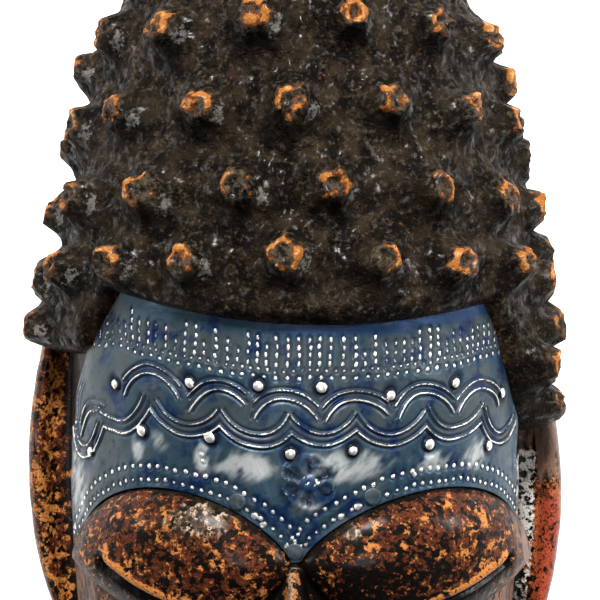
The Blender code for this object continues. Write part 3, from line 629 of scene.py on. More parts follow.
# %% [markdown]
# Lips and chin are plain swellings on the middle line, and the mouth is a thin
# curved cut between the lips.

# %% Lobes, lips and chin over the face
UPPER_LIP = {"drop": 0.775, "half_angle": 27, "half_height": 0.0068, "rise": 0.0062}
LOWER_LIP = {"drop": 0.822, "half_angle": 24, "half_height": 0.0074, "rise": 0.0070}
CHIN = {"drop": 0.905, "half_angle": 33, "half_height": 0.0140, "rise": 0.0058}
MOUTH_DROP = 0.799
MOUTH_HALF_ANGLE = 25
MOUTH_CURL = 0.006
MOUTH_WIDTH = 0.0013
MOUTH_DEPTH = 0.0022
MOUTH_END = (1.02, 0.1)
# Shade painted into the creases around lobes and lips: their place and width as shares of the swelling
CREASE_DARKNESS = 0.8
LOBE_CREASE, LOBE_CREASE_WIDTH = 1.02, 0.035
LIP_CREASE, LIP_CREASE_WIDTH = 1.05, 0.16


def raise_features(angle, y):
    """Height of lobes, lips and chin, the shade painted into their creases and cuts, the lids' rims, and the
    zones below them.
    """
    lift, deep, lid_rim, below_lid = (np.zeros_like(y) for _ in range(4))
    for middle, half_angle in LOBES:
        outward = 1 if middle > 0 else -1
        share = swelling_share(
            angle, y, middle, LOBE_DROP, half_angle, LOBE_UPPER_HEIGHT, LOBE_LOWER_HEIGHT,
            LOBE_DROOP, LOBE_POINTEDNESS, outward)
        side = FACE_HALF_WIDTH * np.radians((angle - middle) * outward)
        cut, cut_deep, rim, below = lid_line(side, y + LOBE_DROP, FACE_HALF_WIDTH * np.radians(half_angle))
        lift = np.maximum(lift, LOBE_RISE * dome(share)) + cut
        crease = CREASE_DARKNESS * line(share - LOBE_CREASE, LOBE_CREASE_WIDTH)
        deep = np.maximum.reduce([deep, crease, cut_deep])
        lid_rim, below_lid = np.maximum(lid_rim, rim), np.maximum(below_lid, below)
    for lip in (UPPER_LIP, LOWER_LIP, CHIN):
        share = swelling_share(
            angle, y, 0.0, lip["drop"] * FACE_LENGTH, lip["half_angle"], lip["half_height"],
            lip["half_height"], 0.0, 1.0, 1)
        lift = np.maximum(lift, lip["rise"] * dome(share))
        deep = np.maximum(deep, CREASE_DARKNESS * line(share - LIP_CREASE, LIP_CREASE_WIDTH))
    across = np.clip(angle / MOUTH_HALF_ANGLE, -1, 1)
    mouth = -(MOUTH_DROP - MOUTH_CURL * np.sin(pi / 2 * across) ** 2) * FACE_LENGTH
    cut = line(y - mouth, MOUTH_WIDTH) * before(np.abs(angle / MOUTH_HALF_ANGLE), *MOUTH_END)
    # The mouth's cut is darkened as painted shade too
    return lift - MOUTH_DEPTH * cut, np.maximum(deep, cut), lid_rim, below_lid


print("the mouth lies", round(MOUTH_DROP * FACE_LENGTH / MM), "mm below the hairline")

# %% [markdown]
# The nose is a narrow ridge that starts between the lobes and widens to two
# nostril wings. It stands too steep to be a height along the face, so it is
# raised straight up, out of the table the mask lies on.

# %% The nose
# Drop below the hairline, half-width of its back and of its foot, and height over
# the face, all as shares of the face's length
NOSE_STATIONS = (
    (0.3590, 0.0060, 0.0110, -0.005), (0.3690, 0.0070, 0.0130, 0.012), (0.4150, 0.0080, 0.0200, 0.028),
    (0.4650, 0.0130, 0.0350, 0.050), (0.5300, 0.0220, 0.0520, 0.074), (0.5950, 0.0340, 0.0660, 0.099),
    (0.6350, 0.0410, 0.0760, 0.113), (0.6600, 0.0380, 0.0740, 0.104), (0.6780, 0.0260, 0.0600, 0.062),
    (0.6880, 0.0100, 0.0350, 0.016), (0.6960, 0.0050, 0.0250, -0.050),
)
WIDEST_STATION = 6
FLAT_BACK_SHARE = 0.55
BACK_ROUNDING = 0.10
FOOT_SPREAD = 1.05
SIDE_FULLNESS = 0.85
# Where a side dips into the face, as a share of its way down, and how deep
SIDE_DIP_START, SIDE_DIP = 0.85, 0.010
FURTHEST_AWAY = 1.6
WING_RADIUS = 0.0072
WING_WIDTH_SHARE, WING_HEIGHT_SHARE = 0.85, 1.15
WING_PLACE_SHARE = 0.72
WING_RISE_SHARE = 0.30
UNDER_FACE = -0.02
NOSTRIL_X = 0.0070
NOSTRIL_DROP_SHARE = 0.672
NOSTRIL_SIZE = (0.0024, 0.0022)
NOSTRIL_DEPTH = 0.0035


def nose_height(x, y):
    """Height of the nose's surface over the table, below it where there is no nose, and the nostrils."""
    drops, *sizes = np.array(NOSE_STATIONS).T
    place = -y / FACE_LENGTH
    back, foot, rise = (FACE_LENGTH * curve_through(list(zip(drops, size)), place) for size in sizes)
    flat = FLAT_BACK_SHARE * back
    away = np.clip((np.abs(x) - flat) / (FOOT_SPREAD * foot - flat), 0.0, FURTHEST_AWAY)
    ridge = rise * (1.0 - BACK_ROUNDING * np.clip(np.abs(x) / back, 0, 1) ** 2)
    side = ridge * np.cos(np.clip(away, 0, 1) * pi / 2) ** SIDE_FULLNESS
    side -= SIDE_DIP * smooth_step(away - SIDE_DIP_START)
    wing_drop, _, wing_foot, wing_rise = NOSE_STATIONS[WIDEST_STATION]
    wing_width = WING_WIDTH_SHARE * WING_RADIUS
    wing_x = (np.abs(x) - wing_foot * FACE_LENGTH * WING_PLACE_SHARE) / wing_width
    wing_y = (y + wing_drop * FACE_LENGTH) / WING_RADIUS
    inside = np.clip(1.0 - wing_x**2 - wing_y**2, 0.0, 1.0)
    wing_height = WING_HEIGHT_SHARE * WING_RADIUS
    wing = wing_rise * FACE_LENGTH * WING_RISE_SHARE + wing_height * np.sqrt(inside)
    surface = np.maximum(side, np.where(inside > 0, wing, UNDER_FACE))
    wide, tall = NOSTRIL_SIZE
    nostril = line(np.abs(x) - NOSTRIL_X, wide) * line(y + NOSTRIL_DROP_SHARE * FACE_LENGTH, tall)
    present = (place > NOSE_STATIONS[0][0]) & (place < NOSE_STATIONS[-1][0])
    level = WALL_HEIGHT + face_depth(y)
    return np.where(present, level + surface - NOSTRIL_DEPTH * nostril, -1.0), nostril


print("the nose rises", round(NOSE_STATIONS[WIDEST_STATION][3] * FACE_LENGTH / MM), "mm over the face")

# %% [markdown]
# ## The whole front of the carving
#
# The two smooth forms are blended at the hair's edge along a quarter circle,
# which gives the hair its rounded lower lip. The outermost columns then drop
# down the side wall, which tapers a little.

# %% Blend face and hair
EDGE_ROUNDING = 0.0070
EDGE_FADE = 0.0015
TAPER_LIMIT_SHARE = 0.3

face_points, face_normals = half_round(face_half_width, face_depth, angle, height)
hair_points, hair_normals = half_round(hair_half_width, hair_depth, angle, height)
hair_share = np.sqrt(1.0 - (1.0 - np.clip(row / EDGE_ROUNDING, 0.0, 1.0)) ** 2)
is_hair = smooth_step(row / EDGE_FADE + 0.5)
front = face_points + (hair_points - face_points) * hair_share[..., None]
normals = unit(face_normals + (hair_normals - face_normals) * hair_share[..., None])
taper = np.minimum(WALL_TAPER, TAPER_LIMIT_SHARE * np.abs(front[..., 0]))
front[..., 0] -= np.sign(angle) * taper * drop
front[..., 2] -= WALL_HEIGHT * drop
print("the smooth front is", round(float(front[..., 2].max()) / MM, 1), "mm high")

# %% [markdown]
# Knobs, features and tool marks are added along the directions that stand
# straight off the form. The tool marks fade out where the wall meets the table,
# so that the mask lies flat.

# %% Add knobs, features and tool marks
# The gouge's strokes are longer up and down the mask than across it
STROKE_STRETCH = (1, 0.6, 1)
# Size and seed of the noise for each kind of mark
GOUGE_NOISE = (0.0065, 1.0)
KNIFE_NOISE = (0.0024, 4.0)
CHIP_NOISE = (0.0042, 9.0)
CHIPS_FROM = 0.25
CHIP_DEPTH = 0.0015
HAIR_GOUGE_DEPTH, HAIR_KNIFE_DEPTH = 0.00085, 0.00055
FACE_GOUGE_DEPTH, FACE_KNIFE_DEPTH = 0.00016, 0.00007
FLAT_FOOT = 0.004
FOOT_FLATNESS = 0.85

knob_lift, wear, knob_shadow, painted_glint = raise_knobs(front)
feature_lift, deep, lid_rim, below_lid = raise_features(angle, height)
feature_lift *= 1.0 - hair_share
gouge = soft_noise(front * STROKE_STRETCH, *GOUGE_NOISE, 2)
knife = soft_noise(front, *KNIFE_NOISE, 2)
chips = np.maximum(0.0, soft_noise(front, *CHIP_NOISE, 2) - CHIPS_FROM)
hair_rough = HAIR_GOUGE_DEPTH * gouge + HAIR_KNIFE_DEPTH * knife - CHIP_DEPTH * chips
face_rough = FACE_GOUGE_DEPTH * gouge + FACE_KNIFE_DEPTH * knife
standing = 1.0 - FOOT_FLATNESS * before(front[..., 2], FLAT_FOOT, FLAT_FOOT)
rough = (hair_rough * hair_share + face_rough * (1 - hair_share)) * standing
front += normals * (feature_lift + rough)[..., None] + knob_lift * hair_share[..., None]
tallest = float(np.linalg.norm(knob_lift, axis=-1).max())
print("the knobs rise up to", round(tallest / MM, 1), "mm over the hair")

# %% [markdown]
# The nose is set in last. Where it meets the face, a soft maximum takes the
# place of a hard corner. The skin must not leave the box of the solids, so
# values near the crown and near the knobs' tops are squeezed together just below
# the limit, which keeps their form, instead of being cut off flat.

# %% Set in the nose and stay inside the solids
CROWN_SQUEEZE = 0.006
TOP_SQUEEZE = 0.001
MARGIN = 0.0001
NOSE_WIDEST_ANGLE = 30
NOSE_BLEND = 0.0016
NOSE_ROUGHNESS = 0.4
NOSE_TONE_FADE = 0.003


def smooth_max(a, b, soft):
    blend = np.clip(0.5 + 0.5 * (a - b) / soft, 0.0, 1.0)
    return b + (a - b) * blend + soft * blend * (1.0 - blend)


def held_below(value, limit, soft):
    """Values that near their limit more and more slowly."""
    over = np.maximum(value - limit + soft, 0.0)
    return np.minimum(value, limit - soft) + soft * (1 - np.exp(-over / soft))


nose_z, nostril = nose_height(front[..., 0], height)
on_front = (np.abs(angle) < NOSE_WIDEST_ANGLE) & (nose_z > 0)
raised_z = smooth_max(nose_z + NOSE_ROUGHNESS * rough, front[..., 2], NOSE_BLEND)
nose_here = np.where(on_front, smooth_step((raised_z - front[..., 2]) / NOSE_TONE_FADE), 0.0)
front[..., 2] = np.maximum(np.where(on_front, raised_z, front[..., 2]), 0.0)
front[..., 1] = held_below(front[..., 1], mask_high.y - HAIRLINE_Y, CROWN_SQUEEZE)
front[..., 2] = held_below(front[..., 2], mask_high.z - MARGIN, TOP_SQUEEZE)
front[..., 1] = np.maximum(front[..., 1], mask_low.y - HAIRLINE_Y + MARGIN)
front[..., 0] = np.clip(front[..., 0], mask_low.x + MARGIN, mask_high.x - MARGIN)
# Painted shade in the nostrils, and none where the nose stands
deep = np.maximum(deep * (1 - nose_here), nostril * on_front)
print("the carved front is", round(float(front[..., 2].max()) / MM, 1), "mm high")

# %% [markdown]
# ## Joining strips of skin into one mesh
#
# The carving is one piece of wood, so its front, ears, hollow and rim end up in
# one mesh. Each strip brings its points in rows, and its masks: numbers from 0
# to 1 that go along with the points and say how much of a finish, of painted
# shade or of painted highlight they carry. A strip may be closed around, and a
# cap closes one of its ends by joining the left half of the last row to its
# right half.


# %% A collector for strips
class Skin:
    """Points, faces and masks of one piece, strip by strip."""

    def __init__(self, mask_names):
        self.points, self.faces, self.count = [], [], 0
        self.masks = {name: [] for name in mask_names}

    def add(self, points, closed=False, flip=False, caps=(), **masks):
        rows, columns = points.shape[:2]
        index = np.arange(rows * columns).reshape(rows, columns) + self.count
        across = np.concatenate([index, index[:, :1]], axis=1) if closed else index
        quads = np.stack([across[:-1, :-1], across[:-1, 1:], across[1:, 1:], across[1:, :-1]], -1)
        quads = quads.reshape(-1, 4)
        for end in caps:
            edge = index[end]
            half = columns // 2
            cap = np.stack([edge[:half - 1], edge[1:half], edge[::-1][1:half], edge[::-1][:half - 1]], -1)
            quads = np.concatenate([quads, cap if end == -1 else cap[:, ::-1]])
        self.faces.append(quads[:, ::-1] if flip else quads)
        self.points.append(points.reshape(-1, 3))
        for name, parts in self.masks.items():
            value = masks.get(name, 0.0)
            parts.append(np.broadcast_to(value, points.shape[:2]).reshape(-1))
        self.count += rows * columns

    def make(self, name, node):
        """The finished piece, moved in place, in the stead of its solid."""
        points = np.concatenate(self.points) + (0.0, HAIRLINE_Y, 0.0)
        mesh = bpy.data.meshes.new(name)
        mesh.from_pydata(points, [], np.concatenate(self.faces))
        for mask, parts in self.masks.items():
            layer = mesh.attributes.new(mask, "FLOAT", "POINT")
            layer.data.foreach_set("value", np.concatenate(parts).astype(np.float32))
        mesh.shade_smooth()
        piece = bpy.data.objects.new(name, mesh)
        bpy.context.scene.collection.objects.link(piece)
        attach(piece, "root")
        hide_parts(node)
        triangles = sum(len(p.vertices) - 2 for p in mesh.polygons)
        print(name, "has", triangles, "triangles")
        return piece


wood_masks = ("hair", "wear", "deep", "pale", "rim", "temple", "ear", "silver")
wood_skin = Skin(wood_masks)
print("the wood carries the masks", ", ".join(wood_masks))

# %% [markdown]
# ## Where stain and varnish change, and where light and shade are painted
#
# The varnish isn't one colour. A painted highlight makes it pale on top of the
# left lobe and pale and bright on the ridge between the lobes, and it is worn
# bright on the lids' rims. It is pinkish grey at the temples, a painted sheen,
# and under the lids, and a painted highlight lays a silver strip beside the right
# end of the sheet. Shade is painted darkest into cuts and creases, between the
# lobes, on the right lobe's inner part and along the sheet's ends. Each place is
# bounded by soft borders.

# %% Tones of the face
# Spots of painted highlight, pale on the varnish: x, height, width and height of the spot
HIGHLIGHT_SPOTS = ((-0.0272, -0.0560, 0.0125, 0.0058), (0.0170, -0.0600, 0.0040, 0.0024))
# Borders, each with the length of its fade: heights in metres, angles in degrees
BETWEEN_TOP, BETWEEN_BOTTOM = (-0.060, 0.006), (-0.110, 0.012)
DARK_LEFT, DARK_RIGHT = (4, 6), (44, 16)
DARK_TOP, DARK_BOTTOM = (-0.062, 0.012), (-0.100, 0.010)
TEMPLE_LEFT, TEMPLE_LEFT_TOP = (-57, 8), (-0.056, 0.008)
TEMPLE_RIGHT, TEMPLE_RIGHT_TOP = (51, 12), (-0.048, 0.006)
TEMPLE_BOTTOM = (-0.105, 0.015)
SHEET_SIDE, SHEET_SIDE_BOTTOM, LOBE_TOP = (58, 3), (-0.10, 0.03), (-0.066, 0.012)
SILVER_SIDE, SILVER_TOP, SILVER_BOTTOM = (73, 2), (-0.036, 0.005), (-0.078, 0.008)
# Between the lobes, x and width: the cut with painted shade and the ridge in it with a painted highlight
BETWEEN_X, BETWEEN_WIDTH = 0.0010, 0.0060
RIDGE_X, RIDGE_WIDTH = -0.0014, 0.0026
# How strong each tone is
RIDGE_HIGHLIGHT_PALENESS = 0.72
BELOW_LID_VEIL = 0.75
BETWEEN_DARKNESS, SIDE_DARKNESS, BESIDE_SHEET_DARKNESS = 0.6, 0.24, 0.85

x = front[..., 0]
# Painted highlights, pale: a sheen on top of the left lobe and a line down the nose's ridge
pale = np.maximum.reduce([spot(x, height, *place) for place in HIGHLIGHT_SPOTS])
between_lobes = line(x - BETWEEN_X, BETWEEN_WIDTH) * before(height, *BETWEEN_TOP)
between_lobes *= past(height, *BETWEEN_BOTTOM)
ridge_highlight = line(x - RIDGE_X, RIDGE_WIDTH) * between_lobes
pale = np.maximum(pale, RIDGE_HIGHLIGHT_PALENESS * ridge_highlight)
bright_rim = np.maximum(lid_rim, ridge_highlight)
# Painted shade on the right lobe's inner part
dark_side = past(angle, *DARK_LEFT) * before(angle, *DARK_RIGHT) * before(height, *DARK_TOP)
# Painted sheen in pinkish grey at both temples; under the lids the same grey is laid
temple = before(angle, *TEMPLE_LEFT) * before(height, *TEMPLE_LEFT_TOP)
temple = temple + past(angle, *TEMPLE_RIGHT) * before(height, *TEMPLE_RIGHT_TOP)
temple = np.maximum(temple * past(height, *TEMPLE_BOTTOM), BELOW_LID_VEIL * below_lid)
# Painted highlight: a silver strip beside the right end of the sheet
silver_highlight = past(angle, *SILVER_SIDE) * before(height, *SILVER_TOP) * past(height, *SILVER_BOTTOM)
beside_sheet = past(np.abs(angle), *SHEET_SIDE) * past(height, *SHEET_SIDE_BOTTOM)
on_face = 1 - is_hair
# Painted shade between the lobes, on the right lobe's inner part and beside the sheet's ends, over that in
# creases and cuts
deep = np.maximum.reduce([
    deep,
    BETWEEN_DARKNESS * between_lobes * (1 - ridge_highlight),
    SIDE_DARKNESS * dark_side * past(height, *DARK_BOTTOM),
    BESIDE_SHEET_DARKNESS * beside_sheet * on_face * (1 - silver_highlight) * past(height, *LOBE_TOP),
])
print("the varnish is dark on", round(100 * float((deep * on_face > 0.5).mean())), "% of the front")

# %% [markdown]
# On the hair the same masks mean other things. The hollows of the tool marks
# get painted shade, their tops are a little worn, and the knobs bring their own
# wear, painted shadows at their feet and painted glints on a flank.

# %% Tones of the hair, and the front as a strip
# Borders by the height of the tool marks, each with the length of its fade
HOLLOWS_END, TOPS_START = (-0.0002, 0.0010), (0.0002, 0.0007)
TOPS_WEAR = 0.30
# Strength of the shadow painted at the knobs' feet
KNOB_SHADOW_STRENGTH = 1.4

# Painted shade in the hollows of the tool marks
hollows = before(hair_rough, *HOLLOWS_END)
worn_tops = TOPS_WEAR * past(hair_rough, *TOPS_START) * (1 - knob_shadow)
hair_painted_shade = np.maximum(KNOB_SHADOW_STRENGTH * knob_shadow, hollows)
# On the hair the dark mask is painted shade: shadows at the knobs' feet and the tool marks' hollows
wood_skin.add(
    front, caps=(0, -1), hair=is_hair, wear=np.maximum(wear, worn_tops) * is_hair,
    deep=np.where(is_hair > 0.5, hair_painted_shade, deep), pale=pale * on_face, rim=bright_rim * on_face,
    temple=temple * on_face, silver=silver_highlight * on_face + painted_glint * is_hair)
print("the front has", wood_skin.count, "points")

# %% [markdown]
# ## Ears
#
# The long ears are raised rims beside the head with a channel behind each rim.
# One cut through an ear, eight corners rounded off twice, is swept down its
# length, and the ear swells and thins with the square root of a sine.

# %% The ears' form
EAR_WIDTH = 0.0140
EAR_HEIGHT = 0.017
EAR_BACK = 0.005
EAR_TOP = 0.012
EAR_LENGTH = 0.112
EAR_DROP_RIGHT = 0.012
HAIR_OVERLAP = 0.012
EAR_INSIDE_SHARE = 0.93
# From the outer foot over the rim into the channel: shares of width and height
EAR_PROFILE = ((0.15, 0.0), (0.0, 0.25), (0.0, 0.72), (0.15, 1.0), (0.38, 0.95), (0.60, 0.58))
EAR_ROWS = 92
# Turn at which an ear's ends are cut off, and the least sine that its width keeps
EAR_END_TURN = 0.03
EAR_LEAST_SINE = 0.002


def rounded(corners, times):
    """Corners of a closed outline cut off again and again until it is round."""
    for _ in range(times):
        ahead = np.roll(corners, -1, axis=-2)
        corners = np.stack([0.75 * corners + 0.25 * ahead, 0.25 * corners + 0.75 * ahead], -2)
        corners = corners.reshape(*corners.shape[:-3], -1, corners.shape[-1])
    return corners


def ear_points(side):
    """Rows of points around an ear, and the head's half-width at each row."""
    top = EAR_TOP if side < 0 else EAR_TOP - HAIR_OVERLAP
    length = EAR_LENGTH if side < 0 else EAR_LENGTH - HAIR_OVERLAP + EAR_DROP_RIGHT
    share = 0.5 - 0.5 * np.cos(np.linspace(EAR_END_TURN, pi - EAR_END_TURN, EAR_ROWS))
    y = top - length * share
    head = face_half_width(y)
    width = EAR_WIDTH * np.sqrt(np.maximum(np.sin(pi * share), EAR_LEAST_SINE))
    inside, level = head * EAR_INSIDE_SHARE, np.full_like(y, EAR_BACK)
    corners = [(inside, level)]
    corners += [(head + width * (1 - inwards), level + EAR_HEIGHT * up) for inwards, up in EAR_PROFILE]
    corners += [(inside, level + EAR_HEIGHT * EAR_PROFILE[-1][1])]
    cut = rounded(np.array(corners).transpose(2, 0, 1), 2)
    y = np.broadcast_to(y[:, None], cut.shape[:2])
    return np.stack([side * cut[..., 0], y, cut[..., 1]], -1), head[:, None]


print("an ear is", round(EAR_LENGTH / MM), "mm long")

# %% [markdown]
# The left ear is orange, with painted shade in its channel next to the head and
# a painted highlight, pale and pinkish, on its outer edge. The right one turns red
# lower down and outwards, has a painted highlight as a silver strip beside the
# head and a pinkish one on its outer edge, and looks smoky where it comes out of
# the hair.


# %% The left ear's tones
# Strength of each tone, and its place by the distance from the head in ear widths
LEFT_DARKNESS, LEFT_DARK_END = 0.35, (0.22, 0.15)
LEFT_PALENESS, LEFT_PALE_PLACE, LEFT_PALE_WIDTH = 0.3, 0.85, 0.2
LEFT_BRIGHTNESS = 0.14
LEFT_VEIL, LEFT_VEIL_PLACE, LEFT_VEIL_WIDTH = 0.75, 0.98, 0.30


def left_ear_tones(from_head, y):
    """The same all the way down, so only the distance from the head counts."""
    # Painted shade in the channel next to the head, and a painted highlight, pale and pinkish, on the outer
    # edge
    return {
        "deep": LEFT_DARKNESS * before(from_head, *LEFT_DARK_END),
        "pale": LEFT_PALENESS * line(from_head - LEFT_PALE_PLACE, LEFT_PALE_WIDTH),
        "rim": LEFT_BRIGHTNESS,
        "temple": LEFT_VEIL * line(from_head - LEFT_VEIL_PLACE, LEFT_VEIL_WIDTH),
    }


print("the left ear has the tones", ", ".join(left_ear_tones(0.0, 0.0)))


# %% The right ear's tones
# Borders by the distance from the head in ear widths, each with the length of its fade
RED_FROM, STRIP_START, STRIP_END = (0.26, 0.30), (-0.14, 0.04), (0.42, 0.05)
# Borders by height
RED_TOP, STRIP_TOP = (-0.040, 0.016), (-0.036, 0.006)
STRIP_BRIGHTER_FROM, SMOKY_FROM = (-0.068, 0.006), (-0.056, 0.012)
# Strength of each tone
STRIP_LOWER_STRENGTH = 0.62
RIGHT_DARKNESS = 0.12
SMOKE_OVER_RED, SMOKE_STRENGTH = 0.6, 1.1
RIGHT_VEIL, RIGHT_VEIL_PLACE, RIGHT_VEIL_WIDTH = 0.6, 1.0, 0.15


def right_ear_tones(from_head, y):
    """Distances from the head are counted in ear widths."""
    red = past(from_head, *RED_FROM) * before(y, *RED_TOP)
    # A painted highlight: the silver strip beside the head
    beside = before(from_head, *STRIP_END) * past(from_head, *STRIP_START)
    strip_strength = STRIP_LOWER_STRENGTH + (1 - STRIP_LOWER_STRENGTH) * past(y, *STRIP_BRIGHTER_FROM)
    highlight_strip = before(y, *STRIP_TOP) * beside * strip_strength
    smoky_top = past(y, *SMOKY_FROM) * (1 - highlight_strip)
    # A painted highlight in pinkish grey along the outer edge
    veil = RIGHT_VEIL * line(from_head - RIGHT_VEIL_PLACE, RIGHT_VEIL_WIDTH)
    return {
        "deep": RIGHT_DARKNESS * (1 - red) * (1 - highlight_strip),
        "ear": red * (1 - SMOKE_OVER_RED * smoky_top),
        "silver": highlight_strip,
        "temple": np.maximum(SMOKE_STRENGTH * smoky_top, veil),
    }


print("the right ear has the tones", ", ".join(right_ear_tones(0.0, 0.0)))

# %% Carve both ears
EAR_GOUGE_DEPTH, EAR_GOUGE_SIZE = 0.00028, 0.007
EAR_KNIFE_DEPTH, EAR_KNIFE_SIZE = 0.00010, 0.0024

for side, tones in ((-1, left_ear_tones), (1, right_ear_tones)):
    ear, head = ear_points(side)
    outward = unit(ear - ear.mean(axis=1, keepdims=True))
    marks = EAR_GOUGE_DEPTH * soft_noise(ear, EAR_GOUGE_SIZE, 3.0 + side, 2)
    marks = marks + EAR_KNIFE_DEPTH * soft_noise(ear, EAR_KNIFE_SIZE, 5.0, 1)
    ear = ear + outward * np.minimum(marks, 0.0)[..., None]
    from_head = (np.abs(ear[..., 0]) - head) / EAR_WIDTH
    wood_skin.add(ear, closed=True, flip=side > 0, **tones(from_head, ear[..., 1]))
print("with both ears the wood has", wood_skin.count, "points")

# %% [markdown]
# ## The back
#
# Behind, the wood is hollowed to a wall of about thirteen millimetres, so that
# the block doesn't split as it dries. The hollow keeps the strokes of the gouge,
# and the rim around it is sawn flat.

# %% The hollow
WALL = 0.013
CHIN_WALL = 0.022
HOLLOW_END_SHARE = 0.25
HOLLOW_ROWS = 100
HOLLOW_COLUMNS = 44
HOLLOW_WALL_STEPS = 5
HOLLOW_ROUNDING = 8
STROKE_DEPTH = 0.0007
STROKE_SIZE = 0.008
STROKE_LENGTHENING = (1, 0.3, 1)
STROKES_FADE_FROM_RIM = 0.006
INWARD = (-1.0, 0.0, -0.6)


def hollow_points():
    low, high = -(FACE_LENGTH - CHIN_WALL), HAIR_HEIGHT - WALL - CHIN_WALL
    share = 0.5 - 0.5 * np.cos(np.linspace(0.0, pi, HOLLOW_ROWS))
    y = low + (high - low) * share
    on_face = np.minimum(y, 0.0)
    blend = smooth_step(y / (2 * HAIR_OVERLAP))
    width, depth = face_half_width(on_face), face_depth(on_face)
    width = width + (hair_half_width(y) - HAIR_HALF_WIDTH + FACE_HALF_WIDTH - width) * blend
    depth = depth + (hair_depth(y) - HAIR_DEPTH + FACE_DEPTH - depth) * blend
    rounding = np.sqrt(1.0 - np.abs(2 * share - 1) ** HOLLOW_ROUNDING)
    fullness = HOLLOW_END_SHARE + (1 - HOLLOW_END_SHARE) * rounding
    width, depth = ((size - WALL) * fullness for size in (width, depth))
    turn = np.linspace(-pi / 2, pi / 2, HOLLOW_COLUMNS)
    down = np.linspace(1.0, 0.0, HOLLOW_WALL_STEPS + 1)[:-1]
    side, none = np.ones(HOLLOW_WALL_STEPS), np.zeros(HOLLOW_WALL_STEPS)
    sine = np.concatenate([-side, np.sin(turn), side])
    arc = np.concatenate([none, np.cos(turn), none])
    level = WALL_HEIGHT * (1 - np.concatenate([down, 0 * turn, down[::-1]]))
    y = np.broadcast_to(y[:, None], (HOLLOW_ROWS, len(sine)))
    return np.stack([width[:, None] * sine, y, level + depth[:, None] * arc], -1)


hollow = hollow_points()
strokes = STROKE_DEPTH * np.abs(soft_noise(hollow * STROKE_LENGTHENING, STROKE_SIZE, 2.0, 2))
inward = unit(hollow * INWARD)
hollow = hollow + inward * (strokes * past(hollow[..., 2], 0.0, STROKES_FADE_FROM_RIM))[..., None]
wood_skin.add(hollow, flip=True, deep=0.15, caps=(0, -1))
print("the hollow is", round(float(hollow[..., 2].max()) / MM), "mm deep")

# %% [markdown]
# The sawn rim lies between two outlines, the foot of the front and the edge of
# the hollow. Both are read by direction from the middle, so that their points
# pair up, and a flat strip of three bands joins them.

# %% The flat rim
RIM_STEPS = 480
RIM_BANDS = 3


def around_outline(outline, directions):
    """An outline read by direction from the middle of the rim."""
    heading = np.arctan2(outline[:, 1], outline[:, 0])
    order = np.argsort(heading)
    reach = np.interp(directions, heading[order], np.hypot(*outline[order].T), period=2 * pi)
    return np.stack([np.cos(directions) * reach, np.sin(directions) * reach], -1)


directions = np.linspace(-pi, pi, RIM_STEPS, endpoint=False)
outer_line = np.concatenate([
    front[:, 0, :2], front[::-1, -1, :2], front[0, [0, -1], :2], front[-1, [0, -1], :2],
])
inner_line = np.concatenate([hollow[:, 0, :2], hollow[::-1, -1, :2]])
outer, inner = around_outline(outer_line, directions), around_outline(inner_line, directions)
flat = outer + (inner - outer) * np.linspace(0.0, 1.0, RIM_BANDS + 1)[:, None, None]
rim = np.concatenate([flat, np.zeros((*flat.shape[:2], 1))], -1)
wood_skin.add(rim, closed=True, deep=0.05, hair=0.35 * (rim[..., 1] > 0))
wood = wood_skin.make("mask_wood", "carved_mask")

# %% [markdown]
# ## The embossed sheet
#
# On the real mask the pattern is punched into soft aluminium from behind, so it
# stands out in front: strokes of dots, two dotted lines, a chain of double
# arches over a chain of double bowls, round studs between them, a rosette, and
# two rows of dots that follow the lower edge.
#
# The sheet is a fine grid on the forehead's curve. Two numbers place every mark:
# how far it lies from the middle, measured along the curve, and how far it drops
# below the sagging hairline.

# %% The sheet's outline
EDGE_GAP = 0.0006
UPPER_EDGE_TUCK = 0.0004
PLATE_SIDE_ANGLE = 80
# Height and angle of the sheet's cut sides, left and right
PLATE_LEFT = (
    (-0.064, 75.0), (-0.049, 77.3), (-0.0345, 75.3), (-0.022, 70.3), (-0.0015, 59.9), (0.010, 52.0),
)
PLATE_RIGHT = ((-0.064, 75.5), (-0.0435, 74.0), (-0.033, 75.0), (0.010, 75.0))
PLATE_SIDE_END_LEFT = 0.343 * FACE_LENGTH
PLATE_SIDE_END_RIGHT = 0.323 * FACE_LENGTH
PLATE_POINT = 0.353 * FACE_LENGTH
PLATE_POINT_SLOPE = 0.0006
PLATE_POINT_ANGLE = 10


def plate_lower_edge(angle):
    """Along the lobes, and down to a point between them."""
    edge = np.full_like(angle, -1.0)
    for middle, half_angle in LOBES:
        side = (angle - middle) / half_angle
        lobe = -LOBE_DROP + LOBE_UPPER_HEIGHT * np.clip(1 - side * side, 0, 1) ** (LOBE_POINTEDNESS / 2)
        edge = np.where((angle < 0) == (middle < 0), lobe, edge)
    point = -PLATE_POINT + PLATE_POINT_SLOPE * np.abs(angle)
    side_end = np.where(angle < 0, -PLATE_SIDE_END_LEFT, -PLATE_SIDE_END_RIGHT)
    floor = np.where(np.abs(angle) < PLATE_POINT_ANGLE, point, side_end)
    return np.maximum(edge + EDGE_GAP, floor)


def plate_upper_edge(angle):
    return hair_edge(angle) + UPPER_EDGE_TUCK


print("the sheet's point is", round(PLATE_POINT / MM), "mm below the hairline")

# %% [markdown]
# The cut sides lean, so the angle of a grid point depends on its height, and its
# height on its angle. A few rounds of halving the difference settle both.

# %% The sheet's grid
PLATE_ROWS = 150
PLATE_COLUMNS = 500
SETTLING_ROUNDS = 6
METRES_PER_DEGREE = 0.0012
# How far a hand strays along the sheet and down it, and over what length
STRAY_ALONG, STRAY_ALONG_LENGTH = 0.0005, 0.014
STRAY_DOWN, STRAY_DOWN_LENGTH = 0.0004, 0.012


def sag_at(angle):
    """Height of the sagging hairline over its lowest point."""
    return np.minimum(hairline(FACE_HALF_WIDTH * np.sin(np.radians(angle))), HAIRLINE_SAG)


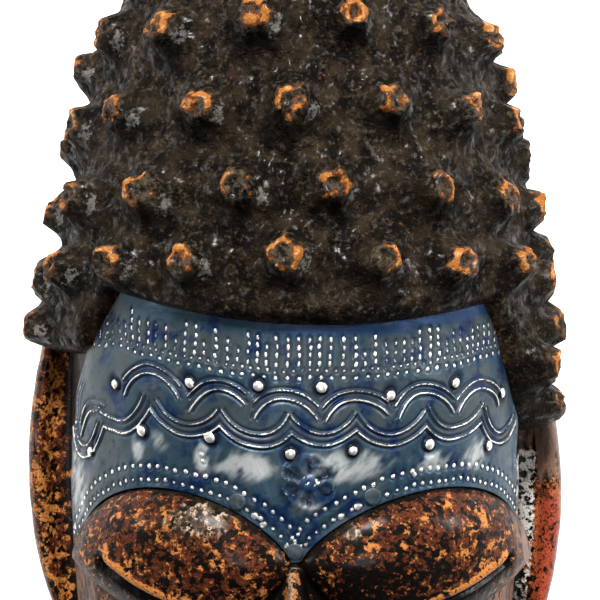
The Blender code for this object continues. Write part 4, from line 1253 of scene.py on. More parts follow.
columns = np.linspace(-1.0, 1.0, PLATE_COLUMNS)
share = np.linspace(0.0, 1.0, PLATE_ROWS)[:, None]
plate_angle = np.broadcast_to(columns * PLATE_SIDE_ANGLE, (PLATE_ROWS, PLATE_COLUMNS))
for _ in range(SETTLING_ROUNDS):
    lower, upper = plate_lower_edge(plate_angle), plate_upper_edge(plate_angle)
    plate_y = lower + (upper - lower) * share
    left_reach, right_reach = (np.interp(plate_y, *zip(*side)) for side in (PLATE_LEFT, PLATE_RIGHT))
    side_reach = np.where(columns < 0, left_reach, right_reach)
    plate_angle = 0.5 * (plate_angle + columns * side_reach)
plate_flat, plate_normals = half_round(face_half_width, face_depth, plate_angle, plate_y)
hand = np.stack([plate_angle * METRES_PER_DEGREE, plate_y, 0 * plate_y], -1)
run = np.radians(plate_angle) * FACE_HALF_WIDTH + STRAY_ALONG * soft_noise(hand, STRAY_ALONG_LENGTH, 2.0)
fall = sag_at(plate_angle) - plate_y + STRAY_DOWN * soft_noise(hand, STRAY_DOWN_LENGTH, 6.0)
print("the sheet is", round(float((upper - lower).max()) / MM), "mm tall in its middle")

# %% [markdown]
# Each kind of mark is a small function that returns its raised height and says
# where it is rubbed bright and where paint gathers. A dot is a low dome, a cord
# is a rounded line with a shallow trough beside it, where the punch dragged the
# metal down. The hand that sets a dot misses its place and size by a little.


# %% Relief and marks
# A dot's bright cap and its shaded foot: sizes in shares of its radius, and the shade's strength
DOT_BRIGHT_REACH, DOT_BRIGHT_FADE = 1.02, 0.35
DOT_SHADE, DOT_SHADE_WIDTH = 0.6, 0.6
# A cord's bright top and the trough beside it: sizes in shares of its width, and the shade's strength
CORD_BRIGHT_WIDTH = 0.62
TROUGH_SHADE, TROUGH_PLACE, TROUGH_WIDTH = 0.85, 1.9, 0.9


class Relief:
    """Height of the sheet's marks, where they are rubbed bright, and where paint gathers."""

    def __init__(self, shape):
        self.height, self.bright, self.shade = (np.zeros(shape) for _ in range(3))

    def lay(self, where=..., **layers):
        """Lays a mark over the others: at each point the higher value stays."""
        for name, value in layers.items():
            layer = getattr(self, name)
            layer[where] = np.maximum(layer[where], value)


def dot(distance, radius, height, bright):
    inside = np.clip(1 - (distance / radius) ** 2, 0, 1)
    return {
        "height": height * np.sqrt(inside),
        "bright": bright * before(distance, radius * DOT_BRIGHT_REACH, DOT_BRIGHT_FADE * radius),
        "shade": DOT_SHADE * line(np.maximum(distance - radius, 0), DOT_SHADE_WIDTH * radius),
    }


def cord(distance, width, height, bright):
    return {
        "height": height * line(distance, width),
        "bright": bright * line(distance, CORD_BRIGHT_WIDTH * width),
        "shade": TROUGH_SHADE * line(np.abs(distance) - TROUGH_PLACE * width, TROUGH_WIDTH * width),
    }


print("a cord's marks are", ", ".join(cord(0.0, 1.0, 1.0, 1.0)))

# %% A dot set by hand
SHEET_SEED = 23
DOT_SWAY = 0.00014
DOT_SIZES = (0.88, 1.1)
DOT_WEAKEST = 0.75
# A dot changes the sheet within this many radii
DOT_REACH = 4

relief = Relief(plate_y.shape)
chance = random.Random(SHEET_SEED)


def set_dot(centre_run, centre_fall, radius, height, bright, tall=1.0):
    """One dot on the grid, a little off its place and size, as a hand sets it."""
    at_run = centre_run + chance.gauss(0, DOT_SWAY)
    at_fall = centre_fall + chance.gauss(0, DOT_SWAY)
    distance = np.hypot(run - at_run, (fall - at_fall) / tall)
    near = distance < DOT_REACH * radius
    radius, bright = radius * chance.uniform(*DOT_SIZES), bright * chance.uniform(DOT_WEAKEST, 1.0)
    relief.lay(near, **dot(distance[near], radius, height, bright))


print("the sheet's grid has", plate_y.size, "points")

# %% [markdown]
# Right under the hair hang short strokes, each a column of dots struck with the
# same punch. They start at uneven heights, and about one in four runs up nearly
# to the hair. Two dotted lines close them off below.

# %% Strokes and dotted lines under the hairline
STROKE_PITCH = 0.0032
STROKE_REACH = 0.078
STROKE_FOOT = 0.0116
STROKE_TOP = 0.0042
STROKE_TOP_SPREAD = 0.0034
TALL_STROKE_TOP = 0.0032
TALL_FROM = 0.75
STROKE_DOT = (0.00055, 0.00036)
STROKE_DOT_PITCH = 0.00245
STROKE_DOT_TALL = 1.75
STROKE_BRIGHT, STROKE_BRIGHT_SPREAD = 0.50, 0.40
STROKE_PITCHES = (0.82, 1.16)
# Drop below the hairline, pitch, radius and brightness of each dotted line
DOTTED_LINES = ((0.0134, 0.0025, 0.00055, 0.65), (0.0156, 0.0033, 0.00066, 0.90))
LINE_DOT_HEIGHT = 0.00034

stroke_run = -STROKE_REACH
while stroke_run < STROKE_REACH:
    strong = chance.random()
    first = STROKE_TOP + STROKE_TOP_SPREAD * chance.random() if strong < TALL_FROM else TALL_STROKE_TOP
    stroke_fall = STROKE_FOOT
    while stroke_fall > first:
        bright = STROKE_BRIGHT + STROKE_BRIGHT_SPREAD * strong
        set_dot(stroke_run, stroke_fall, *STROKE_DOT, bright, tall=STROKE_DOT_TALL)
        stroke_fall -= STROKE_DOT_PITCH
    stroke_run += STROKE_PITCH * chance.uniform(*STROKE_PITCHES)
for line_fall, pitch, radius, bright in DOTTED_LINES:
    for at in np.arange(-STROKE_REACH, STROKE_REACH, pitch):
        set_dot(at, line_fall, radius, LINE_DOT_HEIGHT, bright)
print("the dots rise up to", round(float(relief.height.max()) / MM, 2), "mm")

# %% [markdown]
# Arches and bowls are drawn freehand on the real sheet, so no two are alike.
# Each arc here is given by three places, its feet and its middle, and a
# formula rounds it. A second cord runs outside the first, above the arches and
# below the bowls, and the paint between the two is a little greyer. Drops count
# downwards, so the positive side of an arc is its lower one.

# %% Arcs
# Left foot, middle and right foot of each arc: place along the sheet and drop, in millimetres
ARCHES = (
    (-81.0, 44.0, -72.0, 35.5, -64.0, 37.0), (-55.3, 30.0, -44.6, 20.9, -35.0, 26.6),
    (-31.5, 29.4, -22.0, 20.9, -14.0, 24.4), (-11.8, 28.9, -2.6, 21.7, 6.2, 27.6),
    (8.4, 28.2, 17.0, 22.2, 27.9, 27.3), (30.9, 28.5, 38.6, 22.4, 51.1, 30.2),
    (52.4, 30.4, 61.2, 24.5, 72.1, 31.5),
)
BOWLS = (
    (-86.0, 38.5, -79.0, 46.5, -69.0, 38.5), (-68.6, 34.0, -59.0, 38.0, -47.5, 27.5),
    (-43.2, 27.8, -33.4, 33.2, -22.9, 27.0), (-21.6, 26.6, -11.2, 33.0, -1.6, 25.8),
    (-1.2, 26.0, 7.6, 31.6, 18.0, 25.3), (18.8, 25.6, 28.4, 32.6, 39.6, 27.2),
    (40.8, 26.0, 51.2, 34.2, 63.4, 29.0), (64.5, 30.5, 75.0, 39.5, 84.0, 36.0),
)
ARC_ROUNDNESS = 0.80
ARC_STEPS = 14


def arc_curve(left, left_fall, middle, middle_fall, right, right_fall):
    """Points along an arc that is round in its middle and steep at its feet."""
    turn = np.sin(np.linspace(-pi / 2, pi / 2, 2 * ARC_STEPS + 1))
    bend = 1 - (1 - turn**2) ** ARC_ROUNDNESS
    foot = np.where(turn < 0, left, right)
    foot_fall = np.where(turn < 0, left_fall, right_fall)
    along, down = middle + (foot - middle) * np.abs(turn), middle_fall + (foot_fall - middle_fall) * bend
    return MM * np.stack([along, down], -1)


print(len(ARCHES), "arches stand over", len(BOWLS), "bowls")

# %% Double cords along the arcs
CORD_WIDTH = 0.00042
CORD_HEIGHT = 0.00045
CORD_END_FADE = 0.02
CORDS_END = (77, 1.5)
CORD_UNEVENNESS_SIZE = 0.005
CORD_EVEN, CORD_UNEVEN = 0.92, 0.30
BETWEEN_FADE, BETWEEN_END_FADE = 0.0006, 0.03
# Arcs, side and space of the second cord, brightness of both cords, and share without the second one
CORD_PAIRS = ((ARCHES, -1, 0.0026, 0.95, 0.68, 0.16), (BOWLS, 1, 0.0035, 0.75, 0.95, 0.02))
FIRST_END_SHARE = 0.01

unevenness = np.clip(CORD_EVEN + CORD_UNEVEN * soft_noise(hand, CORD_UNEVENNESS_SIZE, 11.0), 0, 1)
between_cords = np.zeros_like(plate_y)


def lay_cord(distance, walked, bright, from_end):
    """One raised line, with a little wear here and there, that stops short of its arc's feet."""
    present = past(walked, from_end, CORD_END_FADE) * before(walked, 1 - from_end, CORD_END_FADE)
    present = present * before(np.abs(plate_angle), *CORDS_END)
    whole = cord(distance, CORD_WIDTH, CORD_HEIGHT, bright)
    layers = {name: value * present for name, value in whole.items()}
    layers["bright"] = layers["bright"] * unevenness
    relief.lay(**layers)


for arcs, way, spacing, first_bright, second_bright, second_end in CORD_PAIRS:
    apart, walked = beside_curves(run, fall, [arc_curve(*arc) for arc in arcs])
    lay_cord(apart, walked, first_bright, FIRST_END_SHARE)
    lay_cord(apart - way * spacing, walked, second_bright, second_end)
    between = past(way * apart, 0.0, BETWEEN_FADE) * before(way * apart, spacing, BETWEEN_FADE)
    inside = past(walked, 0.0, BETWEEN_END_FADE) * before(walked, 1, BETWEEN_END_FADE)
    between_cords = np.maximum(between_cords, between * inside)
print("the cords rise", round(CORD_HEIGHT / MM, 2), "mm")

# %% [markdown]
# Round studs sit between the arcs, each in a dark hollow where the paint stayed.
# The rosette is a slightly raised disc with six hollow petals around a boss, and
# six ring punches around it.

# %% Studs
STUD_RADIUS = 0.0018
STUD_RISE = 0.0010
STUD_HOLLOW_REACH, STUD_HOLLOW_FADE = 2.4, 1.4
STUD_HOLLOW_FLATNESS = 0.85
# Place along the sheet and drop of each stud, in millimetres
STUDS = (
    (-60.1, 27.8), (-31.7, 21.0), (-10.2, 18.7), (7.8, 18.8), (28.6, 21.6), (51.6, 21.1), (75.0, 28.5),
    (-74.0, 48.0), (-48.3, 38.8), (-24.9, 35.7), (-1.4, 37.6), (17.1, 37.2), (41.5, 37.6), (67.2, 42.8),
)

stud_shade = np.zeros_like(plate_y)
for place in STUDS:
    at, level = (MM * value for value in place)
    set_dot(at, level, STUD_RADIUS, STUD_RISE, 1.0)
    away = np.hypot(run - at, (fall - level) * STUD_HOLLOW_FLATNESS)
    hollow_edge = STUD_HOLLOW_REACH * STUD_RADIUS
    stud_shade = np.maximum(stud_shade, before(away, hollow_edge, STUD_HOLLOW_FADE * STUD_RADIUS))
print(len(STUDS), "studs rise", round(STUD_RISE / MM, 1), "mm")

# %% Rosette
ROSETTE_ANGLE = 3.6
ROSETTE_DROP = 0.0462
ROSETTE_RISE = 0.00045
PETALS = 6
PETAL_DEPTH = 0.00075
BOSS_RADIUS = 0.0026
BOSS_RISE = 0.0011
# Borders from the rosette's middle, each with the length of its fade
DISC_EDGE, DISC_SHADE_EDGE = (0.0095, 0.002), (0.0085, 0.002)
PETAL_TIP, PETAL_ROOT = (0.0078, 0.0015), (0.0022, 0.001)
# Ring punches: place from the rosette's middle along the sheet and down, and size, in millimetres
PUNCH_MARKS = (
    (1.6, -6.6, 1.5), (3.9, -3.6, 1.5), (4.9, 0.9, 1.6),
    (-5.4, 1.4, 2.1), (-6.8, -3.0, 1.5), (-1.6, 5.6, 1.6),
)
PUNCH_DEPTH = 0.00030
# In shares of a punch's size: place and width of its ring, and width of its hollow
PUNCH_RING, PUNCH_RING_WIDTH, PUNCH_HOLLOW_WIDTH = 1.1, 0.28, 0.7
PUNCH_BRIGHTNESS, PUNCH_BRIGHT_RING, PUNCH_BRIGHT_WIDTH = 0.42, 1.15, 0.25
PUNCH_DARKNESS, PUNCH_DARK_WIDTH = 0.9, 0.75
DISC_SHADE = 0.35
# Bright specks on the rosette: how many, how far they scatter and how large they are
SPECKS = 8
SPECK_SCATTER = (0.0012, 0.0009)
SPECK_RADIUS = 0.00042

rosette_run = np.radians(ROSETTE_ANGLE) * FACE_HALF_WIDTH
from_rosette = np.hypot(run - rosette_run, fall - ROSETTE_DROP)
heading = np.arctan2(run - rosette_run, fall - ROSETTE_DROP)
petal = (0.5 + 0.5 * np.cos(PETALS * heading)) * before(from_rosette, *PETAL_TIP)
petal *= past(from_rosette, *PETAL_ROOT)
relief.height += ROSETTE_RISE * before(from_rosette, *DISC_EDGE) - PETAL_DEPTH * petal
boss = np.clip(1 - (from_rosette / BOSS_RADIUS) ** 2, 0, 1)
relief.lay(height=BOSS_RISE * np.sqrt(boss))
rosette_shade = np.maximum(petal, DISC_SHADE * before(from_rosette, *DISC_SHADE_EDGE) * (boss == 0))
for across, down, size in PUNCH_MARKS:
    away = np.hypot(run - rosette_run - MM * across, fall - ROSETTE_DROP - MM * down) / (MM * size)
    ring, hole = line(away - PUNCH_RING, PUNCH_RING_WIDTH), line(away, PUNCH_HOLLOW_WIDTH)
    relief.height += PUNCH_DEPTH * ring - PUNCH_DEPTH * hole
    relief.lay(bright=PUNCH_BRIGHTNESS * line(away - PUNCH_BRIGHT_RING, PUNCH_BRIGHT_WIDTH))
    rosette_shade = np.maximum(rosette_shade, PUNCH_DARKNESS * line(away, PUNCH_DARK_WIDTH))
for number in range(SPECKS):
    speck_run, speck_fall = (chance.gauss(0, scatter) for scatter in SPECK_SCATTER)
    set_dot(rosette_run + speck_run, ROSETTE_DROP + speck_fall, SPECK_RADIUS, 0.0, 1.0)
print("the rosette has", PETALS, "petals and", len(PUNCH_MARKS), "ring punches")

# %% [markdown]
# The last two rows of dots run along the lower edge, so their places are found
# by walking along that edge and stepping straight off it. A few bright knocks
# lie beside them, and three fine folds run down both cut sides.

# %% Rows along the lower edge and the folded sides
EDGE_DOT_PITCH = 0.0029
EDGE_DOT_HEIGHT = 0.00048
# Rows: distance from the edge, radius and brightness of the dots
EDGE_ROWS = ((0.0062, 0.00080, 0.95), (0.0020, 0.00074, 0.80))
EDGE_STEPS = 2400
SLOPE_STEPS = 8
# Bright knocks: place along the sheet, drop and radius
WORN_SPOTS = (
    (-0.0119, 0.0566, 0.0012), (-0.0105, 0.0574, 0.0011), (-0.0096, 0.0590, 0.0011),
    (0.0138, 0.0562, 0.0012), (0.0182, 0.0534, 0.0013), (-0.0277, 0.0412, 0.0009),
    (-0.0270, 0.0430, 0.0008), (0.0360, 0.0460, 0.0009),
)
WORN_SPOT_HEIGHT = 0.0004
# Folds: distance from the cut side and brightness
SIDE_FOLDS = ((0.0010, 0.35), (0.0027, 0.5), (0.0046, 0.3))
FOLD_RISE = 0.00022
FOLD_WIDTH = 0.0004

edge_angles = np.linspace(-PLATE_SIDE_ANGLE, PLATE_SIDE_ANGLE, EDGE_STEPS)
edge_run = np.radians(edge_angles) * FACE_HALF_WIDTH
edge_sag = sag_at(edge_angles)
edge_y = plate_lower_edge(edge_angles)
walked = np.concatenate([[0.0], np.cumsum(np.hypot(np.diff(edge_run), np.diff(edge_y)))])
for offset, radius, bright in EDGE_ROWS:
    for at in np.arange(0.002, walked[-1], EDGE_DOT_PITCH):
        i = min(int(np.searchsorted(walked, at)), len(walked) - SLOPE_STEPS)
        back, ahead = max(i - SLOPE_STEPS, 0), i + SLOPE_STEPS - 1
        along = np.array([edge_run[ahead] - edge_run[back], edge_y[ahead] - edge_y[back]])
        along /= np.linalg.norm(along)
        place = (edge_run[i] - along[1] * offset, edge_y[i] + along[0] * offset)
        set_dot(place[0], edge_sag[i] - place[1], radius, EDGE_DOT_HEIGHT, bright)
for spot_run, spot_fall, radius in WORN_SPOTS:
    set_dot(spot_run, spot_fall, radius, WORN_SPOT_HEIGHT, 0.8)

below_strokes = past(fall, 0.024, 0.006)
for inset, bright in SIDE_FOLDS:
    for side in (-1, 1):
        distance = run - side * (np.radians(side_reach) * FACE_HALF_WIDTH - inset)
        fold = line(distance, FOLD_WIDTH) * below_strokes
        relief.lay(height=FOLD_RISE * fold, bright=bright * fold)
print("the lower edge is", round(float(walked[-1]) / MM), "mm long")

# %% [markdown]
# A cloth has taken the paint off in cloudy, slanting rubs, mostly in the plain
# stretches under the bowls. Noise that is stretched along the slant breaks a few
# soft spots into such clouds, and studs and rosette keep their dark hollows.

# %% Cloudy rubs
# Place along the sheet, drop, width, height and strength
RUBS = (
    (0.0160, 0.0415, 0.0120, 0.0045, 1.0), (-0.0150, 0.0425, 0.0100, 0.0042, 1.0),
    (-0.0272, 0.0420, 0.0026, 0.0050, 0.9), (-0.0500, 0.0440, 0.0026, 0.0045, 0.8),
    (-0.0420, 0.0400, 0.0040, 0.0035, 0.6), (0.0425, 0.0430, 0.0075, 0.0030, 0.8),
    (0.0610, 0.0435, 0.0065, 0.0055, 0.8), (-0.0840, 0.0590, 0.0080, 0.0130, 0.75),
    (0.0040, 0.0530, 0.0050, 0.0030, 0.6),
)
CLOUD_SIZE = 0.0065
CLOUD_SEED = 31.0
CLOUD_STRENGTH = 1.1
# The clouds are drawn out along the slant, where the scale is the smaller one
SCALE_ALONG_SLANT, SCALE_ACROSS_SLANT = 0.7, 1.8
RUB_EDGE = (0.16, 0.75)

across, upward = hand[..., 0], hand[..., 1]
along_slant = across * SCALE_ALONG_SLANT + upward * SCALE_ALONG_SLANT
slanted = np.stack([along_slant, (upward - across) * SCALE_ACROSS_SLANT, 0 * run], -1)
cloud = soft_noise(slanted, CLOUD_SIZE, CLOUD_SEED, 4)
rub = np.maximum.reduce([strength * spot(run, fall, *place) for *place, strength in RUBS])
rub = past(rub * (1 + CLOUD_STRENGTH * cloud), *RUB_EDGE)
rub *= 1 - np.clip(stud_shade + rosette_shade, 0, 1)
print("cloudy rubs cover", round(100 * float(rub.mean())), "% of the sheet")

# %% [markdown]
# Soft metal that is worked from behind doesn't stay flat between the marks. It
# pillows, bulges along the chain of arcs, and sinks where the punch missed it.
# The sheet's front takes all of this, its back stays smooth, and four narrow
# lips close the cut edges.

# %% Finish the sheet
PILLOW = 0.00035
PILLOW_SIZE = 0.011
BULGE = 0.0004
BULGE_DROP = 0.0275
BULGE_WIDTH = 0.0075
SHADE_DEPTH = 0.00065
STUD_HOLLOW_DEPTH = 0.0004
LOW_RELIEF = 0.0002
DEEPEST = -0.0005
BORDER_FADE = 0.0012

pillow = PILLOW * soft_noise(hand, PILLOW_SIZE, 15.0, 2)
bulge = BULGE * line(fall - BULGE_DROP, BULGE_WIDTH)
sunk = SHADE_DEPTH * relief.shade + STUD_HOLLOW_DEPTH * stud_shade * (relief.height < LOW_RELIEF)
to_border = np.minimum(share, 1 - share) * (upper - lower)
surface = (relief.height + pillow + bulge - sunk) * smooth_step(to_border / BORDER_FADE)
proud = FIT_GAP + PLATE_THICKNESS + np.maximum(surface, DEEPEST)
front_face = plate_flat + plate_normals * proud[..., None]
back_face = plate_flat + plate_normals * FIT_GAP
print("the sheet's front stands", round(float(proud.max()) / MM, 2), "mm off the wood at most")

# %% Tones of the sheet, and its strips
# Borders by the drop below the hairline, each with the length of its fade
BLUE_END = (0.0050, 0.003)
STROKES_START, STROKES_END = (0.003, 0.003), (0.0165, 0.003)
WAVES_START, WAVES_END = (0.016, 0.003), (0.036, 0.004)
# Borders by the place along the sheet
BLUE_FROM = (-0.030, 0.045)
GREY_LEFT = (-0.045, 0.020)
# How strong the tones are
BLUE_AT_LEFT, BOSS_BLUE = 0.25, 1.3
WAVES_GREY = 0.6
RELIEF_SHADE, BETWEEN_SHADE = 0.8, 0.35

blue_band = before(fall, *BLUE_END) * (BLUE_AT_LEFT + (1 - BLUE_AT_LEFT) * past(run, *BLUE_FROM))
blue_band = np.maximum(blue_band, BOSS_BLUE * (boss > 0))
grey_paint = np.maximum.reduce([
    past(fall, *STROKES_START) * before(fall, *STROKES_END), between_cords,
    WAVES_GREY * past(fall, *WAVES_START) * before(fall, *WAVES_END), before(run, *GREY_LEFT),
])
all_shade = np.maximum.reduce([
    RELIEF_SHADE * relief.shade, stud_shade, rosette_shade, BETWEEN_SHADE * between_cords,
])
sheet_masks = ("bright", "shade", "rub", "band", "grey")
plate_skin = Skin(sheet_masks)
plate_skin.add(front_face, bright=relief.bright, shade=np.clip(all_shade, 0, 1), rub=rub, band=blue_band,
               grey=grey_paint)
for end in (0, -1):
    lip = np.stack([front_face[end], back_face[end]])
    plate_skin.add(lip, flip=end == 0, bright=0.3, shade=0.4)
    lip = np.stack([front_face[:, end], back_face[:, end]])
    plate_skin.add(lip, flip=end == -1, bright=0.5, shade=0.2)
sheet = plate_skin.make("embossed_sheet", "forehead_plate")

# %% [markdown]
# ## Nails
#
# Three flat, round-headed nails hold the sheet's lower edge. Each head is a thin
# dome turned from a short profile, and it sits straight on the sheet.

# %% Nails
NAIL_ANGLES = {"nail_left": -14, "nail_centre": 0, "nail_right": 19}
NAIL_HEAD_RADIUS = 0.0024
NAIL_HEAD_HEIGHT = 0.0008
NAIL_HEAD_FOOT = 0.0009
NAIL_UP_FROM_EDGE = 0.0032
# Profile of a head: how fast it widens, height at its edge, roundness, and where its foot begins
NAIL_WIDENING, NAIL_WIDENING_POWER = 1.12, 0.7
NAIL_EDGE_SHARE, NAIL_ROUNDNESS, NAIL_FOOT_FROM = 0.25, 2.5, 0.97
NAIL_RUBBED_EDGE = (0.62, 0.25)
NAIL_DENTS = 0.00008
NAIL_DENT_SIZE = 0.0016
NAIL_SEGMENTS = 48
NAIL_RINGS = 14


def nail_points(head_angle):
    """Rings of points from the middle of a head to its foot, and its rubbed edge."""
    at = np.array(float(head_angle))
    place, stand = half_round(face_half_width, face_depth, at, plate_lower_edge(at) + NAIL_UP_FROM_EDGE)
    place = place + stand * (FIT_GAP + PLATE_THICKNESS)
    across = unit(np.cross((0.0, 1.0, 0.0), stand))
    along = np.cross(stand, across)
    turn = np.linspace(0, 2 * pi, NAIL_SEGMENTS, endpoint=False)
    share = np.linspace(0.0, 1.0, NAIL_RINGS)[:, None]
    widening = NAIL_WIDENING * np.sin(share * pi / 2) ** NAIL_WIDENING_POWER
    radius = NAIL_HEAD_RADIUS * np.minimum(1.0, widening)
    domed = NAIL_EDGE_SHARE + (1 - NAIL_EDGE_SHARE) * (1 - share**NAIL_ROUNDNESS)
    lift = NAIL_HEAD_HEIGHT * domed - NAIL_HEAD_FOOT * (share > NAIL_FOOT_FROM)
    points = place + (radius * np.cos(turn))[..., None] * across
    points = points + (radius * np.sin(turn))[..., None] * along
    lift = lift + NAIL_DENTS * soft_noise(points, NAIL_DENT_SIZE, 3.0 + head_angle)
    rubbed = np.broadcast_to(past(share, *NAIL_RUBBED_EDGE), lift.shape)
    return points + stand * lift[..., None], rubbed


nails = []
for node, head_angle in NAIL_ANGLES.items():
    head, edge = nail_points(head_angle)
    nail_skin = Skin(("edge",))
    nail_skin.add(head, closed=True, edge=edge)
    nails.append(nail_skin.make(node.replace("nail", "nail_head"), node))

# %% [markdown]
# ## Materials
#
# Two effects are used by wood, sheet and nails alike, so each is made once as a
# node group: patches, which break a smooth mask into worn islands, and grain, a
# fine roughness of the surface. Before that come short calls that add a node,
# set or link its inputs, and hand back its output.


# %% Short calls for shader nodes
def wire(tree, kind, inputs=None, output=0, **settings):
    """Adds a shader node, sets or links its inputs, and gives back one of its outputs."""
    made = tree.nodes.new("ShaderNode" + kind)
    for name, value in settings.items():
        setattr(made, name, value)
    for name, value in (inputs or {}).items():
        if isinstance(value, bpy.types.NodeSocket):
            tree.links.new(value, made.inputs[name])
        else:
            made.inputs[name].default_value = value
    return made.outputs[output]


def mix(tree, factor, first, second):
    first, second = ((*c, 1.0) if isinstance(c, tuple) else c for c in (first, second))
    return wire(tree, "Mix", {0: factor, 6: first, 7: second}, 2, data_type="RGBA")


def calculate(tree, operation, first, second=0.0):
    """Arithmetic whose result stays between 0 and 1."""
    return wire(tree, "Math", {0: first, 1: second}, operation=operation, use_clamp=True)


print("made the calls wire, mix and calculate")


# %% Amounts from masks
def part_of(tree, mask, weight):
    return calculate(tree, "MULTIPLY", mask, weight)


def amount_of(tree, start, *parts):
    """A start value with masks added by their weights, or taken off where a weight is negative."""
    total = start
    for mask, weight in parts:
        operation = "ADD" if weight > 0 else "SUBTRACT"
        total = calculate(tree, operation, total, part_of(tree, mask, abs(weight)))
    return total


def ranged(tree, value, low, high, start=0.0, end=1.0):
    """A value between start and end, stretched to lie between low and high."""
    limits = {"From Min": start, "From Max": end, "To Min": low, "To Max": high}
    return wire(tree, "MapRange", {"Value": value, **limits})


def attribute(tree, name):
    return wire(tree, "Attribute", None, 2, attribute_type="GEOMETRY", attribute_name=name)


print("made the calls part_of, amount_of, ranged and attribute")


# %% New materials and groups
# Number of the coordinates' output that gives places on the object itself
OBJECT_PLACE = 3


def new_material(name):
    made = bpy.data.materials.new(name)
    made.use_nodes = True
    return made, made.node_tree, made.node_tree.nodes["Principled BSDF"]


def new_group(name, inputs, output):
    made = bpy.data.node_groups.new(name, "ShaderNodeTree")
    for socket, value in inputs.items():
        item = made.interface.new_socket(socket, in_out="INPUT", socket_type="NodeSocketFloat")
        item.default_value = value
    made.interface.new_socket(output, in_out="OUTPUT", socket_type="NodeSocketFloat")
    return made, made.nodes.new("NodeGroupInput").outputs, made.nodes.new("NodeGroupOutput").inputs


def group_noise(tree, given, detail, roughness, place):
    """Noise in a group whose size and seed are the group's own inputs."""
    scale = wire(tree, "Math", {0: 1.0, 1: given["Size"]}, operation="DIVIDE")
    inputs = {"Vector": place, "W": given["Seed"], "Scale": scale, "Detail": detail, "Roughness": roughness}
    return wire(tree, "TexNoise", inputs, noise_dimensions="4D")


print("made the calls new_material, new_group and group_noise")

# %% [markdown]
# Worn paint comes off in islands with ragged shores. The patches group adds
# noise to an amount and keeps what passes a limit: a larger amount gives larger
# islands, and softness blurs their shores. A stretch below 1 draws them out
# along the mask, as the carver's strokes did.

# %% Patches and grain
patch_group, given, result = new_group(
    "Worn patches", {"Amount": 0.5, "Size": 0.003, "Seed": 0.0, "Softness": 0.1, "Stretch": 1.0}, "Mask")
place = wire(patch_group, "TexCoord", None, OBJECT_PLACE)
squeeze = wire(patch_group, "CombineXYZ", {"X": 1.0, "Y": given["Stretch"], "Z": 1.0})
place = wire(patch_group, "VectorMath", {0: place, 1: squeeze}, operation="MULTIPLY")
pattern = group_noise(patch_group, given, 4.0, 0.6, place)
pattern = wire(patch_group, "Math", {0: pattern, 1: given["Amount"]}, operation="ADD")
shore_low = wire(patch_group, "Math", {0: 1.0, 1: given["Softness"]}, operation="SUBTRACT")
shore_high = wire(patch_group, "Math", {0: 1.0, 1: given["Softness"]}, operation="ADD")
islands = wire(patch_group, "MapRange", {"Value": pattern, "From Min": shore_low, "From Max": shore_high},
               interpolation_type="SMOOTHSTEP")
patch_group.links.new(islands, result["Mask"])

grain_group, given, result = new_group("Surface grain", {"Size": 0.001, "Seed": 0.0}, "Height")
place = wire(grain_group, "TexCoord", None, OBJECT_PLACE)
grain_group.links.new(group_noise(grain_group, given, 3.0, 0.65, place), result["Height"])


def patches(tree, amount, size, seed, softness=0.06, stretch=1.0):
    inputs = {"Amount": amount, "Size": size, "Seed": seed, "Softness": softness, "Stretch": stretch}
    return wire(tree, "Group", inputs, node_tree=patch_group)


def layered(tree, base, colour, **patch):
    """A colour laid over another in patches."""
    return mix(tree, patches(tree, **patch), base, colour)


def grain(tree, size, seed):
    return wire(tree, "Group", {"Size": size, "Seed": seed}, node_tree=grain_group)


print(patch_group.name, "and", grain_group.name, "are ready")

# %% [markdown]
# ### Stained and varnished wood
#
# The hair is stained nearly black over brown and a little rust, and a glint is
# painted in grey on one flank of each knob. Where hands rubbed the knobs, the
# stain is gone: rust shows around the spot and orange wood in it.

# %% Stain on the hair
INK = (0.0042, 0.0032, 0.0026)
DARK_BROWN = (0.030, 0.020, 0.0115)
GREY_BROWN = (0.085, 0.066, 0.046)
RUST = (0.13, 0.040, 0.011)
RUBBED_ORANGE = (0.40, 0.145, 0.032)
RUBBED_PALE = (0.66, 0.36, 0.15)
GLINT_GREY = (0.27, 0.26, 0.24)

wood_material, tree, shader = new_material("stained_wood")
hair, worn, painted_shade_mask, pale_highlight_mask, rim_mask, temple_mask, ear_mask, highlight_mask = (
    attribute(tree, name) for name in wood_masks)
stain = layered(tree, INK, DARK_BROWN, amount=0.47, size=0.0065, seed=1.0, softness=0.12)
dusty = amount_of(tree, 0.37, (worn, 0.35))
stain = layered(tree, stain, GREY_BROWN, amount=dusty, size=0.0016, seed=2.0, softness=0.12)
stain = layered(tree, stain, RUST, amount=0.30, size=0.0022, seed=3.0, softness=0.05)
# A glint painted in grey on one flank of each knob
glint = part_of(tree, highlight_mask, 0.57)
stain = layered(tree, stain, GLINT_GREY, amount=glint, size=0.0014, seed=18.0, softness=0.08)
halo = amount_of(tree, 0.05, (worn, 1.1))
hair_colour = layered(tree, stain, RUST, amount=halo, size=0.0024, seed=5.0, softness=0.05)
rubbed = layered(tree, RUBBED_ORANGE, RUBBED_PALE, amount=0.42, size=0.0018, seed=4.0, softness=0.1)
hair_colour = layered(tree, hair_colour, rubbed, amount=worn, size=0.0024, seed=5.0, softness=0.05)
print("the hair's stain takes", len(tree.nodes), "nodes")

# %% [markdown]
# The face is varnished in orange over red-brown. Pale and silvery places are
# painted highlights on it, and black specks lie on top where old stain stays in
# the pores, most in the cuts and fewest on the rims. The temples are veiled in
# pinkish grey, a painted sheen, and the painted highlight on top of the lobe is
# streaked.

# %% Varnish on the face
VARNISH_ORANGE = (0.54, 0.20, 0.050)
VARNISH_RED = (0.13, 0.030, 0.011)
VARNISH_DARK = (0.040, 0.013, 0.007)
EAR_RED = (0.34, 0.060, 0.026)
CREAM = (0.52, 0.37, 0.27)
PINK_GREY = (0.21, 0.130, 0.098)
HIGHLIGHT_SILVER = (0.72, 0.71, 0.67)

